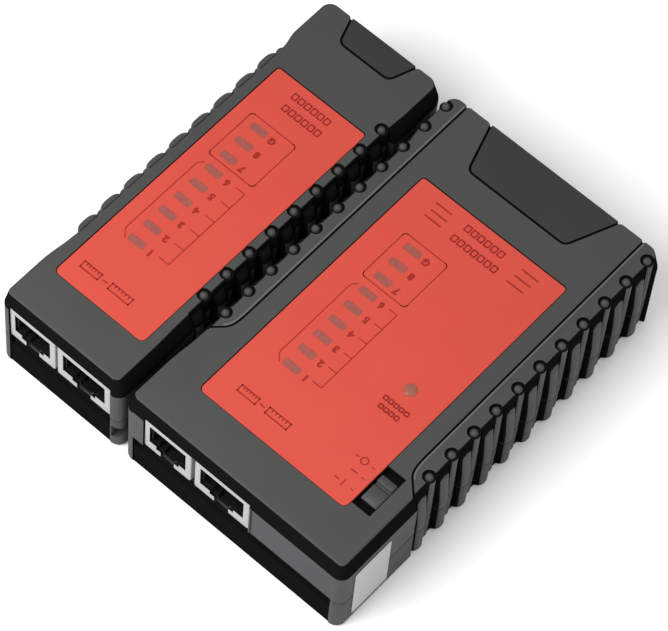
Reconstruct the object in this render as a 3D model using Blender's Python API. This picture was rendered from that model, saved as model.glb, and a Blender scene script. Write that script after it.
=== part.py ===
"""Network cable tester: a master unit, and a remote unit that slides off a dovetail rail on its side.

Frame: +Z up, +Y away from the jacks, +X towards the master's outer side. The origin is the middle of
the footprint, on the surface that both units rest on. The dimensions below are in millimetres.

Each unit is drawn in its own coordinates: u runs across from the unit's centre line, v runs along from
the edge of the top face above the jacks, and z is the height above the resting surface.
"""
import math

import bmesh
import bpy
from mathutils import Vector

MM = 0.001
GAP = 0.3                 # clearance between neighbouring pieces

# Cases
HEIGHT = 28.0             # top faces
TOP_LENGTH = 107.8        # top face, along v
FRONT_LEAN = 1.3          # how far the front stands ahead of the top face's edge
BACK_LEAN = 1.0
MIDDLE_V = 53.75          # v of the origin
BAND = 4.8                # height of the sloping band round the top face
PARTING = 11.5            # height of the seam between the shells
ROOF = 2.0
FLOOR = 2.4
WALL = 2.4
END_WALL = 2.2
TOP_CORNER = 2.5
SIDE_CORNER = 4.0
FOOT_INSET = 1.0          # the lower edge is chamfered by this much
CORNER_STEPS = 4

# Ribs on the long sides: rounded pads with narrow valleys, and a stud on top above each valley
RIB_PITCH = 7.5
FIRST_RIB = 29.3
PAD_RISE = 0.5
VALLEY_DEPTH = 0.6
STUD_RADIUS = 1.25
STUD_TOP = HEIGHT + 0.45

# Top face
LABEL_DEPTH = 1.0
LABEL_LOW, LABEL_HIGH = 27.2, 27.9
LABEL_CORNER = 1.5
LED_COUNT = 9
LED_PITCH = 5.08
LED_FIRST_V = 29.2
LED_SIZE = (4.4, 1.8)
LED_TOP = 27.75
GROOVE_WIDTH = 0.8
GROOVE_DEPTH = 0.7

# Circuit boards and case screws
BOARD_LOW, BOARD_HIGH = 10.4, 12.0
BOSS_RADIUS = 3.0
SCREW_RADIUS = 1.2
SCREW_HEAD = 2.4
SCREW_TOP = 19.0

# Jacks, tab side down
JACK_LOW, JACK_HIGH = 12.3, 23.9
JACK_FRONT, JACK_BACK = -1.0, 15.0
SHIELD_WALL = 0.4
SOCKET_LOW, SOCKET_HIGH = 15.6, 22.3
SOCKET_DEPTH = 13.0

# Dovetail between the units: (distance out of the master's side, half height)
RAIL_Z = 6.4
RAIL_NECK = (1.2, 1.2)
RAIL_HEAD = (3.4, 2.2)
RAIL_START, RAIL_END = 12.0, 96.0
RAIL_CLEARANCE = 0.35

# Battery, lying across the far end of the master, and its door
BATTERY_V = (78.6, 105.1)
BATTERY_Z = (3.0, 20.5)
BATTERY_U = (-25.6, 20.4)
TERMINAL_SPACING = 12.7
DOOR_U = (-25.5, 25.5)
DOOR_FRONT = 74.0
DOOR_THICKNESS = 2.0
TONGUE = 1.5
TONGUE_Z = (1.1, 1.7)


class Unit:
    """The sizes of one of the two cases, and the parent of its objects."""

    def __init__(self, name, centre, half_top, half_side, ribs, stud_u, label, panel, jacks, leds_u,
                 screws, board_length):
        self.name = name
        self.centre = centre
        self.half_top = half_top
        self.half_side = half_side
        self.ribs = ribs
        self.stud_u = stud_u
        self.label = label
        self.panel = panel
        self.jacks = jacks
        self.leds_u = leds_u
        self.screws = screws
        self.board_length = board_length
        self.half_inside = half_side - WALL
        self.parent = None

    def rib_v(self):
        return [FIRST_RIB + RIB_PITCH * i for i in range(self.ribs)]


MASTER = Unit(
    "master", centre=18.95, half_top=30.75, half_side=32.2, ribs=11, stud_u=30.0,
    label=(-20.95, 21.35, 11.2, 86.0), panel=(94.5, (-14.9, 13.8), (-19.2, 19.2)),
    jacks={"rj11": -19.25, "rj45": -3.1}, leds_u=-10.1,
    screws=[(-24.8, 33.0), (24.8, 33.0), (-24.8, 69.0), (24.8, 69.0)], board_length=73.0)
REMOTE = Unit(
    "remote", centre=-32.85, half_top=17.15, half_side=18.3, ribs=9, stud_u=15.25,
    label=(-12.95, 13.45, 11.2, 85.5), panel=(100.4, (-7.5, 7.5), (-10.1, 10.1)),
    jacks={"rj11": -8.5, "rj45": 7.2}, leds_u=-4.95,
    screws=[(0.0, 21.5), (0.0, 92.0)], board_length=84.0)

# name: (shield width, socket width, tab slot widths, contacts)
JACKS = {"rj45": (16.2, 11.9, (6.4, 3.4), 8), "rj11": (13.8, 9.9, (6.2, 3.2), 6)}
CONTACT_PITCH = 1.02

# Slide switch, beside the master's label
SLOT_U = (22.05, 26.95)
SLOT_V = (13.1, 25.2)
KNOB_LENGTH = 7.3
KNOB_MIDDLE_V = 19.1
POWER_LED = (12.85, 42.7)
POWER_LED_RADIUS = 1.5


# ---------------------------------------------------------------- mesh helpers

def world(unit, u, v, z):
    return Vector((unit.centre + u, v - MIDDLE_V, z)) * MM


def material(name, colour, roughness, metallic=0.0):
    made = bpy.data.materials.new(name)
    made.use_nodes = True
    shader = made.node_tree.nodes["Principled BSDF"]
    shader.inputs["Base Color"].default_value = (*colour, 1.0)
    shader.inputs["Roughness"].default_value = roughness
    shader.inputs["Metallic"].default_value = metallic
    made.diffuse_color = (*colour, 1.0)
    return made


def loft(bm, loops):
    """A closed skin through loops that have the same number of points, first loop lowest."""
    rings = [[bm.verts.new(p) for p in loop] for loop in loops]
    count = len(rings[0])
    for low, high in zip(rings, rings[1:]):
        for i in range(count):
            j = (i + 1) % count
            bm.faces.new((low[i], low[j], high[j], high[i]))
    bm.faces.new(rings[0][::-1])
    bm.faces.new(rings[-1])


def box(bm, unit, us, vs, zs):
    corners = [(us[0], vs[0]), (us[1], vs[0]), (us[1], vs[1]), (us[0], vs[1])]
    loft(bm, [[world(unit, u, v, z) for u, v in corners] for z in zs])


def prism(bm, unit, outline, zs):
    """An outline of (u, v), counterclockwise from above, extruded from zs[0] to zs[1]."""
    loft(bm, [[world(unit, u, v, z) for u, v in outline] for z in zs])


def cross_prism(bm, unit, outline, us):
    """An outline of (v, z), counterclockwise seen from +X, extruded across."""
    loft(bm, [[world(unit, u, v, z) for v, z in outline] for u in us])


def long_prism(bm, unit, outline, vs):
    """An outline of (u, z), clockwise seen from the jacks, extruded along."""
    loft(bm, [[world(unit, u, v, z) for u, z in outline] for v in vs])


def turned(bm, unit, u, v, profile, sides):
    """A solid of revolution about a vertical axis: profile is (radius, z) from the bottom up."""
    turn = 2 * math.pi / sides
    loft(bm, [[world(unit, u + r * math.cos(i * turn), v + r * math.sin(i * turn), z)
               for i in range(sides)] for r, z in profile])


def rounded_outline(u0, u1, v0, v1, radius, right=(), left=()):
    """A rounded rectangle, counterclockwise; right and left are points between the corners."""
    outline = []
    corners = [(u1 - radius, v0 + radius, -90), (u1 - radius, v1 - radius, 0),
               (u0 + radius, v1 - radius, 90), (u0 + radius, v0 + radius, 180)]
    for index, (u, v, start) in enumerate(corners):
        for step in range(CORNER_STEPS + 1):
            angle = math.radians(start + 90 * step / CORNER_STEPS)
            outline.append((u + radius * math.cos(angle), v + radius * math.sin(angle)))
        if index == 0:
            outline += right
        if index == 2:
            outline += left
    return outline


def strip_outline(path, width):
    """The outline of a band of this width along an open path."""
    left, right = [], []
    for i, (u, v) in enumerate(path):
        before = Vector(path[max(i - 1, 0)])
        after = Vector(path[min(i + 1, len(path) - 1)])
        here = Vector((u, v))
        first = (here - before).normalized() if i else (after - here).normalized()
        last = (after - here).normalized() if i < len(path) - 1 else first
        along = (first + last).normalized()
        across = Vector((-along.y, along.x)) * (width / 2 / max(along.dot(first), 0.3))
        left.append(tuple(here + across))
        right.append(tuple(here - across))
    return right + left[::-1]


def finish(unit, name, bm, finish_material, origin=(0.0, 0.0, 0.0), smooth_angle=None):
    """Makes an object of the mesh, with its origin at the (u, v, z) given, under the unit's parent."""
    place = world(unit, *origin)
    bmesh.ops.translate(bm, verts=bm.verts, vec=-place)
    bmesh.ops.recalc_face_normals(bm, faces=bm.faces)
    mesh = bpy.data.meshes.new(name)
    bm.to_mesh(mesh)
    bm.free()
    if smooth_angle:
        mesh.shade_smooth()
        mesh.set_sharp_from_angle(angle=math.radians(smooth_angle))
    if finish_material:
        mesh.materials.append(finish_material)
    made = bpy.data.objects.new(name, mesh)
    bpy.context.collection.objects.link(made)
    made.location = place
    if unit.parent:
        made.parent = unit.parent
        made.location = place - unit.parent.location
    return made


def combine(target, unit, bm, operation, label):
    """Adds a Boolean of the shapes in bm to the target. The shapes in one bm don't touch each other."""
    tool = finish(unit, target.name + "_" + label, bm, None)
    tool.hide_render = True
    tool.display_type = "WIRE"
    modifier = target.modifiers.new(label, "BOOLEAN")
    modifier.operation = operation
    modifier.solver = "EXACT"
    modifier.object = tool


# ---------------------------------------------------------------- cases

def rib_points(unit):
    """(v, offset out of the side) along a ribbed side: valleys at the studs, pads between them."""
    first = unit.rib_v()[0]
    edge = RIB_PITCH / 2
    points = [(first - edge - 2.8, 0.0), (first - edge - 2.35, -VALLEY_DEPTH),
              (first - edge - 1.9, 0.7 * PAD_RISE), (first - edge, PAD_RISE), (first - 1.8, 0.7 * PAD_RISE)]
    for v in unit.rib_v():
        points += [(v - 0.9, -VALLEY_DEPTH), (v + 0.9, -VALLEY_DEPTH), (v + 1.8, 0.7 * PAD_RISE),
                   (v + edge, PAD_RISE), (v + RIB_PITCH - 1.8, 0.7 * PAD_RISE)]
    last_straight = TOP_LENGTH + BACK_LEAN - SIDE_CORNER - 0.4
    kept = [p for p in points if p[0] < min(last_straight, unit.rib_v()[-1] + 1.5)]
    if unit.rib_v()[-1] + 2.0 < last_straight:
        kept.append((unit.rib_v()[-1] + 1.8, 0.0))
    return kept


def case_loop(unit, z, half, front, back, corner, relief):
    ribs = rib_points(unit)
    right = [(half + relief * rise, v) for v, rise in ribs]
    left = [(-half - relief * rise, v) for v, rise in reversed(ribs)]
    outline = rounded_outline(-half, half, -front, TOP_LENGTH + back, corner, right, left)
    return [world(unit, u, v, z) for u, v in outline]


def inside_outline(unit):
    half = unit.half_inside
    return rounded_outline(-half, half, 0.7, TOP_LENGTH + BACK_LEAN - END_WALL, 1.5)


def led_v():
    return [LED_FIRST_V + LED_PITCH * i for i in range(LED_COUNT)]


def window_boxes(bm, unit, zs):
    """The LED windows, and on the master the round indicator's."""
    half_u, half_v = (size / 2 + GAP for size in LED_SIZE)
    for v in led_v():
        box(bm, unit, (unit.leds_u - half_u, unit.leds_u + half_u), (v - half_v, v + half_v), zs)
    if unit is MASTER:
        turned(bm, unit, *POWER_LED, [(POWER_LED_RADIUS + GAP, z) for z in zs], 12)


def panel_groove(unit):
    """The groove round the trapezoid panel at the far end of the top face."""
    near_v, near, far = unit.panel
    reach = (TOP_LENGTH + 4 - near_v) / (TOP_LENGTH - near_v)
    path = [(near[0] + (far[0] - near[0]) * reach, TOP_LENGTH + 4), (near[0], near_v),
            (near[1], near_v), (near[1] + (far[1] - near[1]) * reach, TOP_LENGTH + 4)]
    return strip_outline(path, GROOVE_WIDTH)


def grip_grooves():
    """The grooves that frame the ribbed edges of the master's top face."""
    path = [(26.2, TOP_LENGTH + 4), (26.2, 30.5), (26.7, 27.3), (32.6, 21.4)]
    mirrored = [(-u, v) for u, v in reversed(path)]
    return [strip_outline(path, 0.6), strip_outline(mirrored, 0.6)]


def jack_opening(unit):
    """The span of u that both jacks take in the front wall."""
    low = min(u - JACKS[kind][0] / 2 for kind, u in unit.jacks.items())
    high = max(u + JACKS[kind][0] / 2 for kind, u in unit.jacks.items())
    return low - GAP, high + GAP


def top_shell(unit, finish_material):
    bm = bmesh.new()
    loft(bm, [
        case_loop(unit, PARTING + GAP / 2, unit.half_side, FRONT_LEAN, BACK_LEAN, SIDE_CORNER, 1.0),
        case_loop(unit, HEIGHT - BAND - 2.2, unit.half_side, FRONT_LEAN, BACK_LEAN, SIDE_CORNER, 1.0),
        case_loop(unit, HEIGHT - BAND, unit.half_side, FRONT_LEAN, BACK_LEAN, SIDE_CORNER, 0.4),
        case_loop(unit, HEIGHT, unit.half_top, 0.0, 0.0, TOP_CORNER, 0.0)])
    shell = finish(unit, unit.name + "_top_shell", bm, finish_material, smooth_angle=30)

    hollow = bmesh.new()
    prism(hollow, unit, inside_outline(unit), (PARTING - 1, HEIGHT - ROOF))
    combine(shell, unit, hollow, "DIFFERENCE", "hollow")

    bosses = bmesh.new()
    for u, v in unit.screws:
        profile = [(BOSS_RADIUS - 0.3, BOARD_HIGH + GAP), (BOSS_RADIUS, HEIGHT - 1.2)]
        turned(bosses, unit, u, v, profile, 12)
    combine(shell, unit, bosses, "UNION", "bosses")

    studs = bmesh.new()
    for side in (-1, 1):
        for v in unit.rib_v():
            centre = STUD_TOP - STUD_RADIUS
            profile = [(STUD_RADIUS * math.cos(a), centre + STUD_RADIUS * math.sin(a))
                       for a in map(math.radians, (0, 30, 60, 85))]
            turned(studs, unit, side * unit.stud_u, v, [(STUD_RADIUS, HEIGHT - 1.0)] + profile, 8)
    combine(shell, unit, studs, "UNION", "studs")

    holes = bmesh.new()
    for u, v in unit.screws:
        profile = [(SCREW_RADIUS + GAP, BOARD_HIGH - 1), (SCREW_RADIUS + GAP, SCREW_TOP + 1)]
        turned(holes, unit, u, v, profile, 10)
    low, high = jack_opening(unit)
    box(holes, unit, (low, high), (-FRONT_LEAN - 2, 2.0), (PARTING - 1, JACK_HIGH + GAP))
    combine(shell, unit, holes, "DIFFERENCE", "holes")

    recess = bmesh.new()
    u0, u1, v0, v1 = unit.label
    outline = rounded_outline(u0 - GAP, u1 + GAP, v0 - GAP, v1 + GAP, LABEL_CORNER + GAP)
    prism(recess, unit, outline, (HEIGHT - LABEL_DEPTH, HEIGHT + 2))
    prism(recess, unit, panel_groove(unit), (HEIGHT - GROOVE_DEPTH, HEIGHT + 2))
    if unit is MASTER:
        for outline in grip_grooves():
            prism(recess, unit, outline, (HEIGHT - 0.5, HEIGHT + 2))
    combine(shell, unit, recess, "DIFFERENCE", "recesses")

    windows = bmesh.new()
    window_boxes(windows, unit, (HEIGHT - ROOF - 1, HEIGHT + 1))
    if unit is MASTER:
        box(windows, unit, SLOT_U, SLOT_V, (HEIGHT - ROOF - 1, HEIGHT + 1))
    combine(shell, unit, windows, "DIFFERENCE", "windows")


def rail_outline(unit, side, start, clearance):
    """The dovetail's section (u, z), from a distance start out of the master's side plane."""
    neck, head = RAIL_NECK, RAIL_HEAD
    outs = [(start, neck[1] + clearance), (neck[0], neck[1] + clearance),
            (head[0] + clearance, head[1] + clearance)]
    upper = [(out, RAIL_Z + half) for out, half in outs]
    lower = [(out, RAIL_Z - half) for out, half in reversed(outs)]
    plane = MASTER.centre - MASTER.half_side
    return [(plane + side * out - unit.centre, z) for out, z in upper + lower]


def bottom_shell(unit, finish_material):
    half, low_half = unit.half_side, unit.half_side - FOOT_INSET
    bm = bmesh.new()
    loft(bm, [
        case_loop(unit, 0.0, low_half, FRONT_LEAN - FOOT_INSET, BACK_LEAN - FOOT_INSET,
                  SIDE_CORNER - FOOT_INSET, 0.0),
        case_loop(unit, FOOT_INSET, half, FRONT_LEAN, BACK_LEAN, SIDE_CORNER, 0.0),
        case_loop(unit, 3.5, half, FRONT_LEAN, BACK_LEAN, SIDE_CORNER, 0.6),
        case_loop(unit, 6.0, half, FRONT_LEAN, BACK_LEAN, SIDE_CORNER, 1.0),
        case_loop(unit, PARTING - GAP / 2, half, FRONT_LEAN, BACK_LEAN, SIDE_CORNER, 1.0)])
    shell = finish(unit, unit.name + "_bottom_shell", bm, finish_material, smooth_angle=30)

    hollow = bmesh.new()
    if unit is MASTER:
        prism(hollow, unit, inside_outline(unit), (FLOOR, PARTING + 1))
    else:
        thick = unit.half_inside - 2.4
        back = TOP_LENGTH + BACK_LEAN - END_WALL
        prism(hollow, unit, rounded_outline(-unit.half_inside, thick, 0.7, back, 1.5), (FLOOR, PARTING + 1))
        ledge = bmesh.new()
        box(ledge, unit, (thick - 3.0, unit.half_inside), (1.0, back - 0.3), (BOARD_LOW - GAP, PARTING + 2))
        combine(shell, unit, ledge, "DIFFERENCE", "board_ledge")
    combine(shell, unit, hollow, "DIFFERENCE", "hollow")

    bosses = bmesh.new()
    for u, v in unit.screws:
        turned(bosses, unit, u, v, [(BOSS_RADIUS + 0.9, FLOOR - 1.2), (BOSS_RADIUS + 0.9, 4.2),
                                    (BOSS_RADIUS - 0.3, 4.8), (BOSS_RADIUS - 0.3, BOARD_LOW - GAP)], 12)
    combine(shell, unit, bosses, "UNION", "bosses")

    holes = bmesh.new()
    for u, v in unit.screws:
        turned(holes, unit, u, v, [(SCREW_HEAD + GAP, -1), (SCREW_HEAD + GAP, 3.0),
                                   (SCREW_RADIUS + GAP, 3.0), (SCREW_RADIUS + GAP, BOARD_LOW)], 12)
    combine(shell, unit, holes, "DIFFERENCE", "holes")

    if unit is MASTER:
        rail = bmesh.new()
        long_prism(rail, unit, rail_outline(unit, -1, -0.9, 0.0), (RAIL_START, RAIL_END))
        combine(shell, unit, rail, "UNION", "rail")
        bay = bmesh.new()
        back = TOP_LENGTH + BACK_LEAN
        u0, u1 = DOOR_U
        cross = [(u0, -1), (u1, -1), (u1, TONGUE_Z[0] - GAP), (u1 + TONGUE, TONGUE_Z[0] - GAP),
                 (u1 + TONGUE, TONGUE_Z[1] + GAP), (u1, TONGUE_Z[1] + GAP), (u1, FLOOR + 0.2),
                 (u0, FLOOR + 0.2), (u0, TONGUE_Z[1] + GAP), (u0 - TONGUE, TONGUE_Z[1] + GAP),
                 (u0 - TONGUE, TONGUE_Z[0] - GAP), (u0, TONGUE_Z[0] - GAP)]
        long_prism(bay, unit, cross[::-1], (DOOR_FRONT, back + 2))
        combine(shell, unit, bay, "DIFFERENCE", "battery_bay")
    else:
        groove = bmesh.new()
        long_prism(groove, unit, rail_outline(unit, -1, -2.0, RAIL_CLEARANCE),
                   (-FRONT_LEAN - 3, RAIL_END + RAIL_CLEARANCE))
        combine(shell, unit, groove, "DIFFERENCE", "rail_groove")


def battery_door(finish_material):
    """Slides off towards the far end; its side tongues run in slots in the case's floor."""
    u0, u1 = DOOR_U[0] + GAP, DOOR_U[1] - GAP
    cross = [(u0, 0.0), (u1, 0.0), (u1, TONGUE_Z[0]), (u1 + TONGUE, TONGUE_Z[0]), (u1 + TONGUE, TONGUE_Z[1]),
             (u1, TONGUE_Z[1]), (u1, DOOR_THICKNESS), (u0, DOOR_THICKNESS), (u0, TONGUE_Z[1]),
             (u0 - TONGUE, TONGUE_Z[1]), (u0 - TONGUE, TONGUE_Z[0]), (u0, TONGUE_Z[0])]
    bm = bmesh.new()
    long_prism(bm, MASTER, cross[::-1], (DOOR_FRONT + GAP, TOP_LENGTH + BACK_LEAN - FOOT_INSET))
    door = finish(MASTER, "battery_door", bm, finish_material,
                  origin=(0.0, (DOOR_FRONT + TOP_LENGTH) / 2, DOOR_THICKNESS / 2))
    ridges = bmesh.new()
    for i in range(6):
        v = 96.0 + 1.6 * i
        box(ridges, MASTER, (-8.0, 8.0), (v, v + 0.8), (-1.0, 0.5))
    combine(door, MASTER, ridges, "DIFFERENCE", "thumb_ridges")


def label(unit, finish_material):
    bm = bmesh.new()
    prism(bm, unit, rounded_outline(*unit.label, LABEL_CORNER), (LABEL_LOW, LABEL_HIGH))
    plate = finish(unit, unit.name + "_label", bm, finish_material)
    windows = bmesh.new()
    window_boxes(windows, unit, (LABEL_LOW - 1, LABEL_HIGH + 1))
    combine(plate, unit, windows, "DIFFERENCE", "windows")


# ---------------------------------------------------------------- inside

def board(unit, finish_material):
    half = unit.half_inside - 0.6
    bm = bmesh.new()
    box(bm, unit, (-half, half), (1.3, unit.board_length), (BOARD_LOW, BOARD_HIGH))
    plate = finish(unit, unit.name + "_circuit_board", bm, finish_material)
    holes = bmesh.new()
    for u, v in unit.screws:
        if v < unit.board_length:
            turned(holes, unit, u, v, [(1.8, BOARD_LOW - 1), (1.8, BOARD_HIGH + 1)], 10)
    combine(plate, unit, holes, "DIFFERENCE", "holes")


def screw(unit, index, u, v, finish_material):
    bm = bmesh.new()
    turned(bm, unit, u, v, [(SCREW_HEAD - 0.4, 0.9), (SCREW_HEAD, 1.3), (SCREW_HEAD, 2.7),
                            (SCREW_RADIUS, 2.7), (SCREW_RADIUS, SCREW_TOP - 1.5), (0.3, SCREW_TOP)], 10)
    made = finish(unit, f"{unit.name}_screw_{index}", bm, finish_material, (u, v, 2.7), smooth_angle=30)
    cross = bmesh.new()
    prism(cross, unit, [(u + a, v + b) for a, b in (
        (-0.3, -1.4), (0.3, -1.4), (0.3, -0.3), (1.4, -0.3), (1.4, 0.3), (0.3, 0.3),
        (0.3, 1.4), (-0.3, 1.4), (-0.3, 0.3), (-1.4, 0.3), (-1.4, -0.3), (-0.3, -0.3))], (0.0, 2.0))
    combine(made, unit, cross, "DIFFERENCE", "cross_slot")


def jack(unit, kind, u, metal, plastic, gold):
    """A modular jack: a metal shield, a plastic insert with the socket in it, and its contact comb."""
    width, socket, tab_widths, contacts = JACKS[kind]
    name = f"{unit.name}_{kind}"
    half = width / 2

    bm = bmesh.new()
    box(bm, unit, (u - half, u + half), (JACK_FRONT, JACK_BACK), (JACK_LOW, JACK_HIGH))
    shield = finish(unit, name + "_shield", bm, metal)
    cavity = bmesh.new()
    box(cavity, unit, (u - half + SHIELD_WALL, u + half - SHIELD_WALL),
        (JACK_FRONT + SHIELD_WALL, JACK_BACK + 1), (JACK_LOW + SHIELD_WALL, JACK_HIGH - SHIELD_WALL))
    combine(shield, unit, cavity, "DIFFERENCE", "cavity")
    face = bmesh.new()
    box(face, unit, (u - socket / 2 - 0.6, u + socket / 2 + 0.6), (JACK_FRONT - 1, JACK_FRONT + 1),
        (JACK_LOW + 0.9, JACK_HIGH - 1.0))
    combine(shield, unit, face, "DIFFERENCE", "face")

    inset = SHIELD_WALL + GAP
    bm = bmesh.new()
    box(bm, unit, (u - half + inset, u + half - inset), (JACK_FRONT + inset, JACK_BACK - GAP),
        (JACK_LOW + inset, JACK_HIGH - inset))
    insert = finish(unit, name + "_insert", bm, plastic)
    hole = bmesh.new()
    wide, narrow = tab_widths[0] / 2, tab_widths[1] / 2
    steps = [(narrow, SOCKET_LOW - 2.3), (narrow, SOCKET_LOW - 1.2), (wide, SOCKET_LOW - 1.2),
             (wide, SOCKET_LOW), (socket / 2, SOCKET_LOW), (socket / 2, SOCKET_HIGH)]
    outline = [(u + a, z) for a, z in steps] + [(u - a, z) for a, z in reversed(steps)]
    long_prism(hole, unit, outline[::-1], (JACK_FRONT - 1, SOCKET_DEPTH))
    combine(insert, unit, hole, "DIFFERENCE", "socket")

    # The comb hangs under the socket's roof at the mouth, and its wires slope down towards the back.
    bm = bmesh.new()
    reach = (contacts - 1) * CONTACT_PITCH / 2
    wire = 0.25
    comb = [(-reach - wire, 2.0), (reach + wire, 2.0)]
    for i in reversed(range(contacts)):
        middle = -reach + CONTACT_PITCH * i
        comb += [(middle + wire, 3.2), (middle + wire, 11.6), (middle - wire, 11.6), (middle - wire, 3.2)]
    comb = [p for i, p in enumerate(comb) if i not in (2, len(comb) - 1)]
    slope = 0.15

    def comb_loop(top):
        return [world(unit, u + a, v, top - slope * (v - 2.0)) for a, v in comb]

    loft(bm, [comb_loop(SOCKET_HIGH - GAP - 0.35), comb_loop(SOCKET_HIGH - GAP)])
    finish(unit, name + "_contacts", bm, gold)


def flat_led(unit, index, v, finish_material):
    """A 2 by 5 mm LED: its lens fills the window and its two legs stand on the board."""
    half = LED_SIZE[0] / 2
    outline = [(-half, 21.0), (-half, LED_TOP), (half, LED_TOP), (half, 21.0), (1.5, 21.0),
               (1.5, BOARD_HIGH + GAP), (1.0, BOARD_HIGH + GAP), (1.0, 21.0), (-1.0, 21.0),
               (-1.0, BOARD_HIGH + GAP), (-1.5, BOARD_HIGH + GAP), (-1.5, 21.0)]
    bm = bmesh.new()
    width = LED_SIZE[1] / 2
    long_prism(bm, unit, [(unit.leds_u + u, z) for u, z in outline], (v - width, v + width))
    name = f"{unit.name}_led_{index + 1}" if index < LED_COUNT - 1 else f"{unit.name}_led_g"
    finish(unit, name, bm, finish_material)


def power_led(finish_material):
    radius = POWER_LED_RADIUS
    dome = [(radius * math.cos(math.radians(a)), 26.4 + radius * 0.9 * math.sin(math.radians(a)))
            for a in (0, 25, 50, 80)]
    bm = bmesh.new()
    turned(bm, MASTER, *POWER_LED, [(0.9, BOARD_HIGH + GAP), (0.9, 21.0), (radius, 21.2)] + dome, 12)
    finish(MASTER, "master_power_led", bm, finish_material, smooth_angle=30)


def slide_switch(metal, plastic):
    """The switch body hangs under the slot; the knob slides along v and rests in the middle."""
    u = sum(SLOT_U) / 2
    body = bmesh.new()
    box(body, MASTER, (u - 3.4, u + 3.4), (KNOB_MIDDLE_V - 9.0, KNOB_MIDDLE_V + 9.0), (17.5, 24.2))
    case = finish(MASTER, "switch_body", body, metal)
    slot = bmesh.new()
    box(slot, MASTER, (u - 1.3, u + 1.3), (KNOB_MIDDLE_V - 3.6, KNOB_MIDDLE_V + 3.6), (21.5, 25.0))
    combine(case, MASTER, slot, "DIFFERENCE", "slot")
    legs = bmesh.new()
    for v in (-6.0, 0.0, 6.0):
        box(legs, MASTER, (u - 0.5, u + 0.5), (KNOB_MIDDLE_V + v - 0.5, KNOB_MIDDLE_V + v + 0.5),
            (BOARD_HIGH + GAP, 18.5))
    combine(case, MASTER, legs, "UNION", "legs")

    half = KNOB_LENGTH / 2
    outline = [(-half, 24.6), (-1.0, 24.6), (-1.0, 22.0), (1.0, 22.0), (1.0, 24.6), (half, 24.6),
               (half, 28.1), (1.7, 28.3), (1.5, 27.5), (0.9, 27.5), (0.7, 27.9), (-half, 27.7)]
    bm = bmesh.new()
    outline = [(KNOB_MIDDLE_V + v, z) for v, z in outline]
    cross_prism(bm, MASTER, outline, (SLOT_U[0] + GAP, SLOT_U[1] - GAP))
    knob = finish(MASTER, "switch_knob", bm, plastic, (u, KNOB_MIDDLE_V, 24.6))
    sides = bmesh.new()
    for side in (-1, 1):
        across = sorted((u + side * 1.0, u + side * 4.0))
        box(sides, MASTER, across, (KNOB_MIDDLE_V - 1.5, KNOB_MIDDLE_V + 1.5), (21.0, 24.4))
    combine(knob, MASTER, sides, "DIFFERENCE", "stem_sides")


def battery(jacket, snap_plastic, red, black):
    u0, u1 = BATTERY_U
    v0, v1 = BATTERY_V
    z0, z1 = BATTERY_Z
    corner = 2.5
    outline = rounded_outline(v0, v1, z0, z1, corner)
    bm = bmesh.new()
    cross_prism(bm, MASTER, outline, (u0, u1))
    cell = finish(MASTER, "battery", bm, jacket, smooth_angle=30)
    middle_v, middle_z = (v0 + v1) / 2, (z0 + z1) / 2
    sides = 10

    def studs_across(bm, radii, us):
        for sign, radius in zip((-1, 1), radii):
            v = middle_v + sign * TERMINAL_SPACING / 2
            turns = [2 * math.pi * i / sides for i in range(sides)]
            ring = [(v + radius * math.cos(t), middle_z + radius * math.sin(t)) for t in turns]
            cross_prism(bm, MASTER, ring, us)

    terminals = bmesh.new()
    studs_across(terminals, (2.8, 3.9), (u1 - 1.0, u1 + 2.6))
    combine(cell, MASTER, terminals, "UNION", "terminals")

    bm = bmesh.new()
    snap = (u1 + 0.5, u1 + 6.0)
    outline = rounded_outline(middle_v - 12.5, middle_v + 12.5, middle_z - 6, middle_z + 6, 3.0)
    cross_prism(bm, MASTER, outline, snap)
    cap = finish(MASTER, "battery_snap", bm, snap_plastic, smooth_angle=30)
    sockets = bmesh.new()
    studs_across(sockets, (3.2, 4.3), (u1 - 1.0, u1 + 3.0))
    combine(cap, MASTER, sockets, "DIFFERENCE", "sockets")

    for name, colour, z, end_u in (("lead_positive", red, 13.5, 20.5), ("lead_negative", black, 10.6, 17.0)):
        route = [(23.5, middle_v - 12.5 - GAP, z), (23.4, 77.0, z + 0.4), (22.6, 74.2, z + 2.0),
                 ((22.6 + end_u) / 2, 71.4, 15.4), (end_u, 69.6, 14.6), (end_u, 69.2, BOARD_HIGH + GAP)]
        curve = bpy.data.curves.new(name, "CURVE")
        curve.dimensions = "3D"
        curve.bevel_depth = 0.6 * MM
        curve.bevel_resolution = 2
        curve.use_fill_caps = True
        spline = curve.splines.new("POLY")
        spline.points.add(len(route) - 1)
        for point, (u, v, height) in zip(spline.points, route):
            point.co = (*world(MASTER, u, v, height), 1.0)
        curve.materials.append(colour)
        bpy.context.collection.objects.link(bpy.data.objects.new(name, curve))


def controller_chip(finish_material):
    bm = bmesh.new()
    cross = [(-3.2, 12.5), (-3.2, 14.1), (-2.9, 15.9), (2.9, 15.9), (3.2, 14.1), (3.2, 12.5)]
    long_prism(bm, MASTER, [(8.0 + u, z) for u, z in cross], (30.0, 49.5))
    finish(MASTER, "controller_chip", bm, finish_material)


def seal_sticker(finish_material):
    """A blank seal across the seam, on the plain stretch of the master's outer side."""
    bm = bmesh.new()
    box(bm, MASTER, (MASTER.half_side + 0.1, MASTER.half_side + 0.3), (3.0, 14.7), (3.0, 21.5))
    finish(MASTER, "seal_sticker", bm, finish_material)


# ---------------------------------------------------------------- assembly

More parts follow.
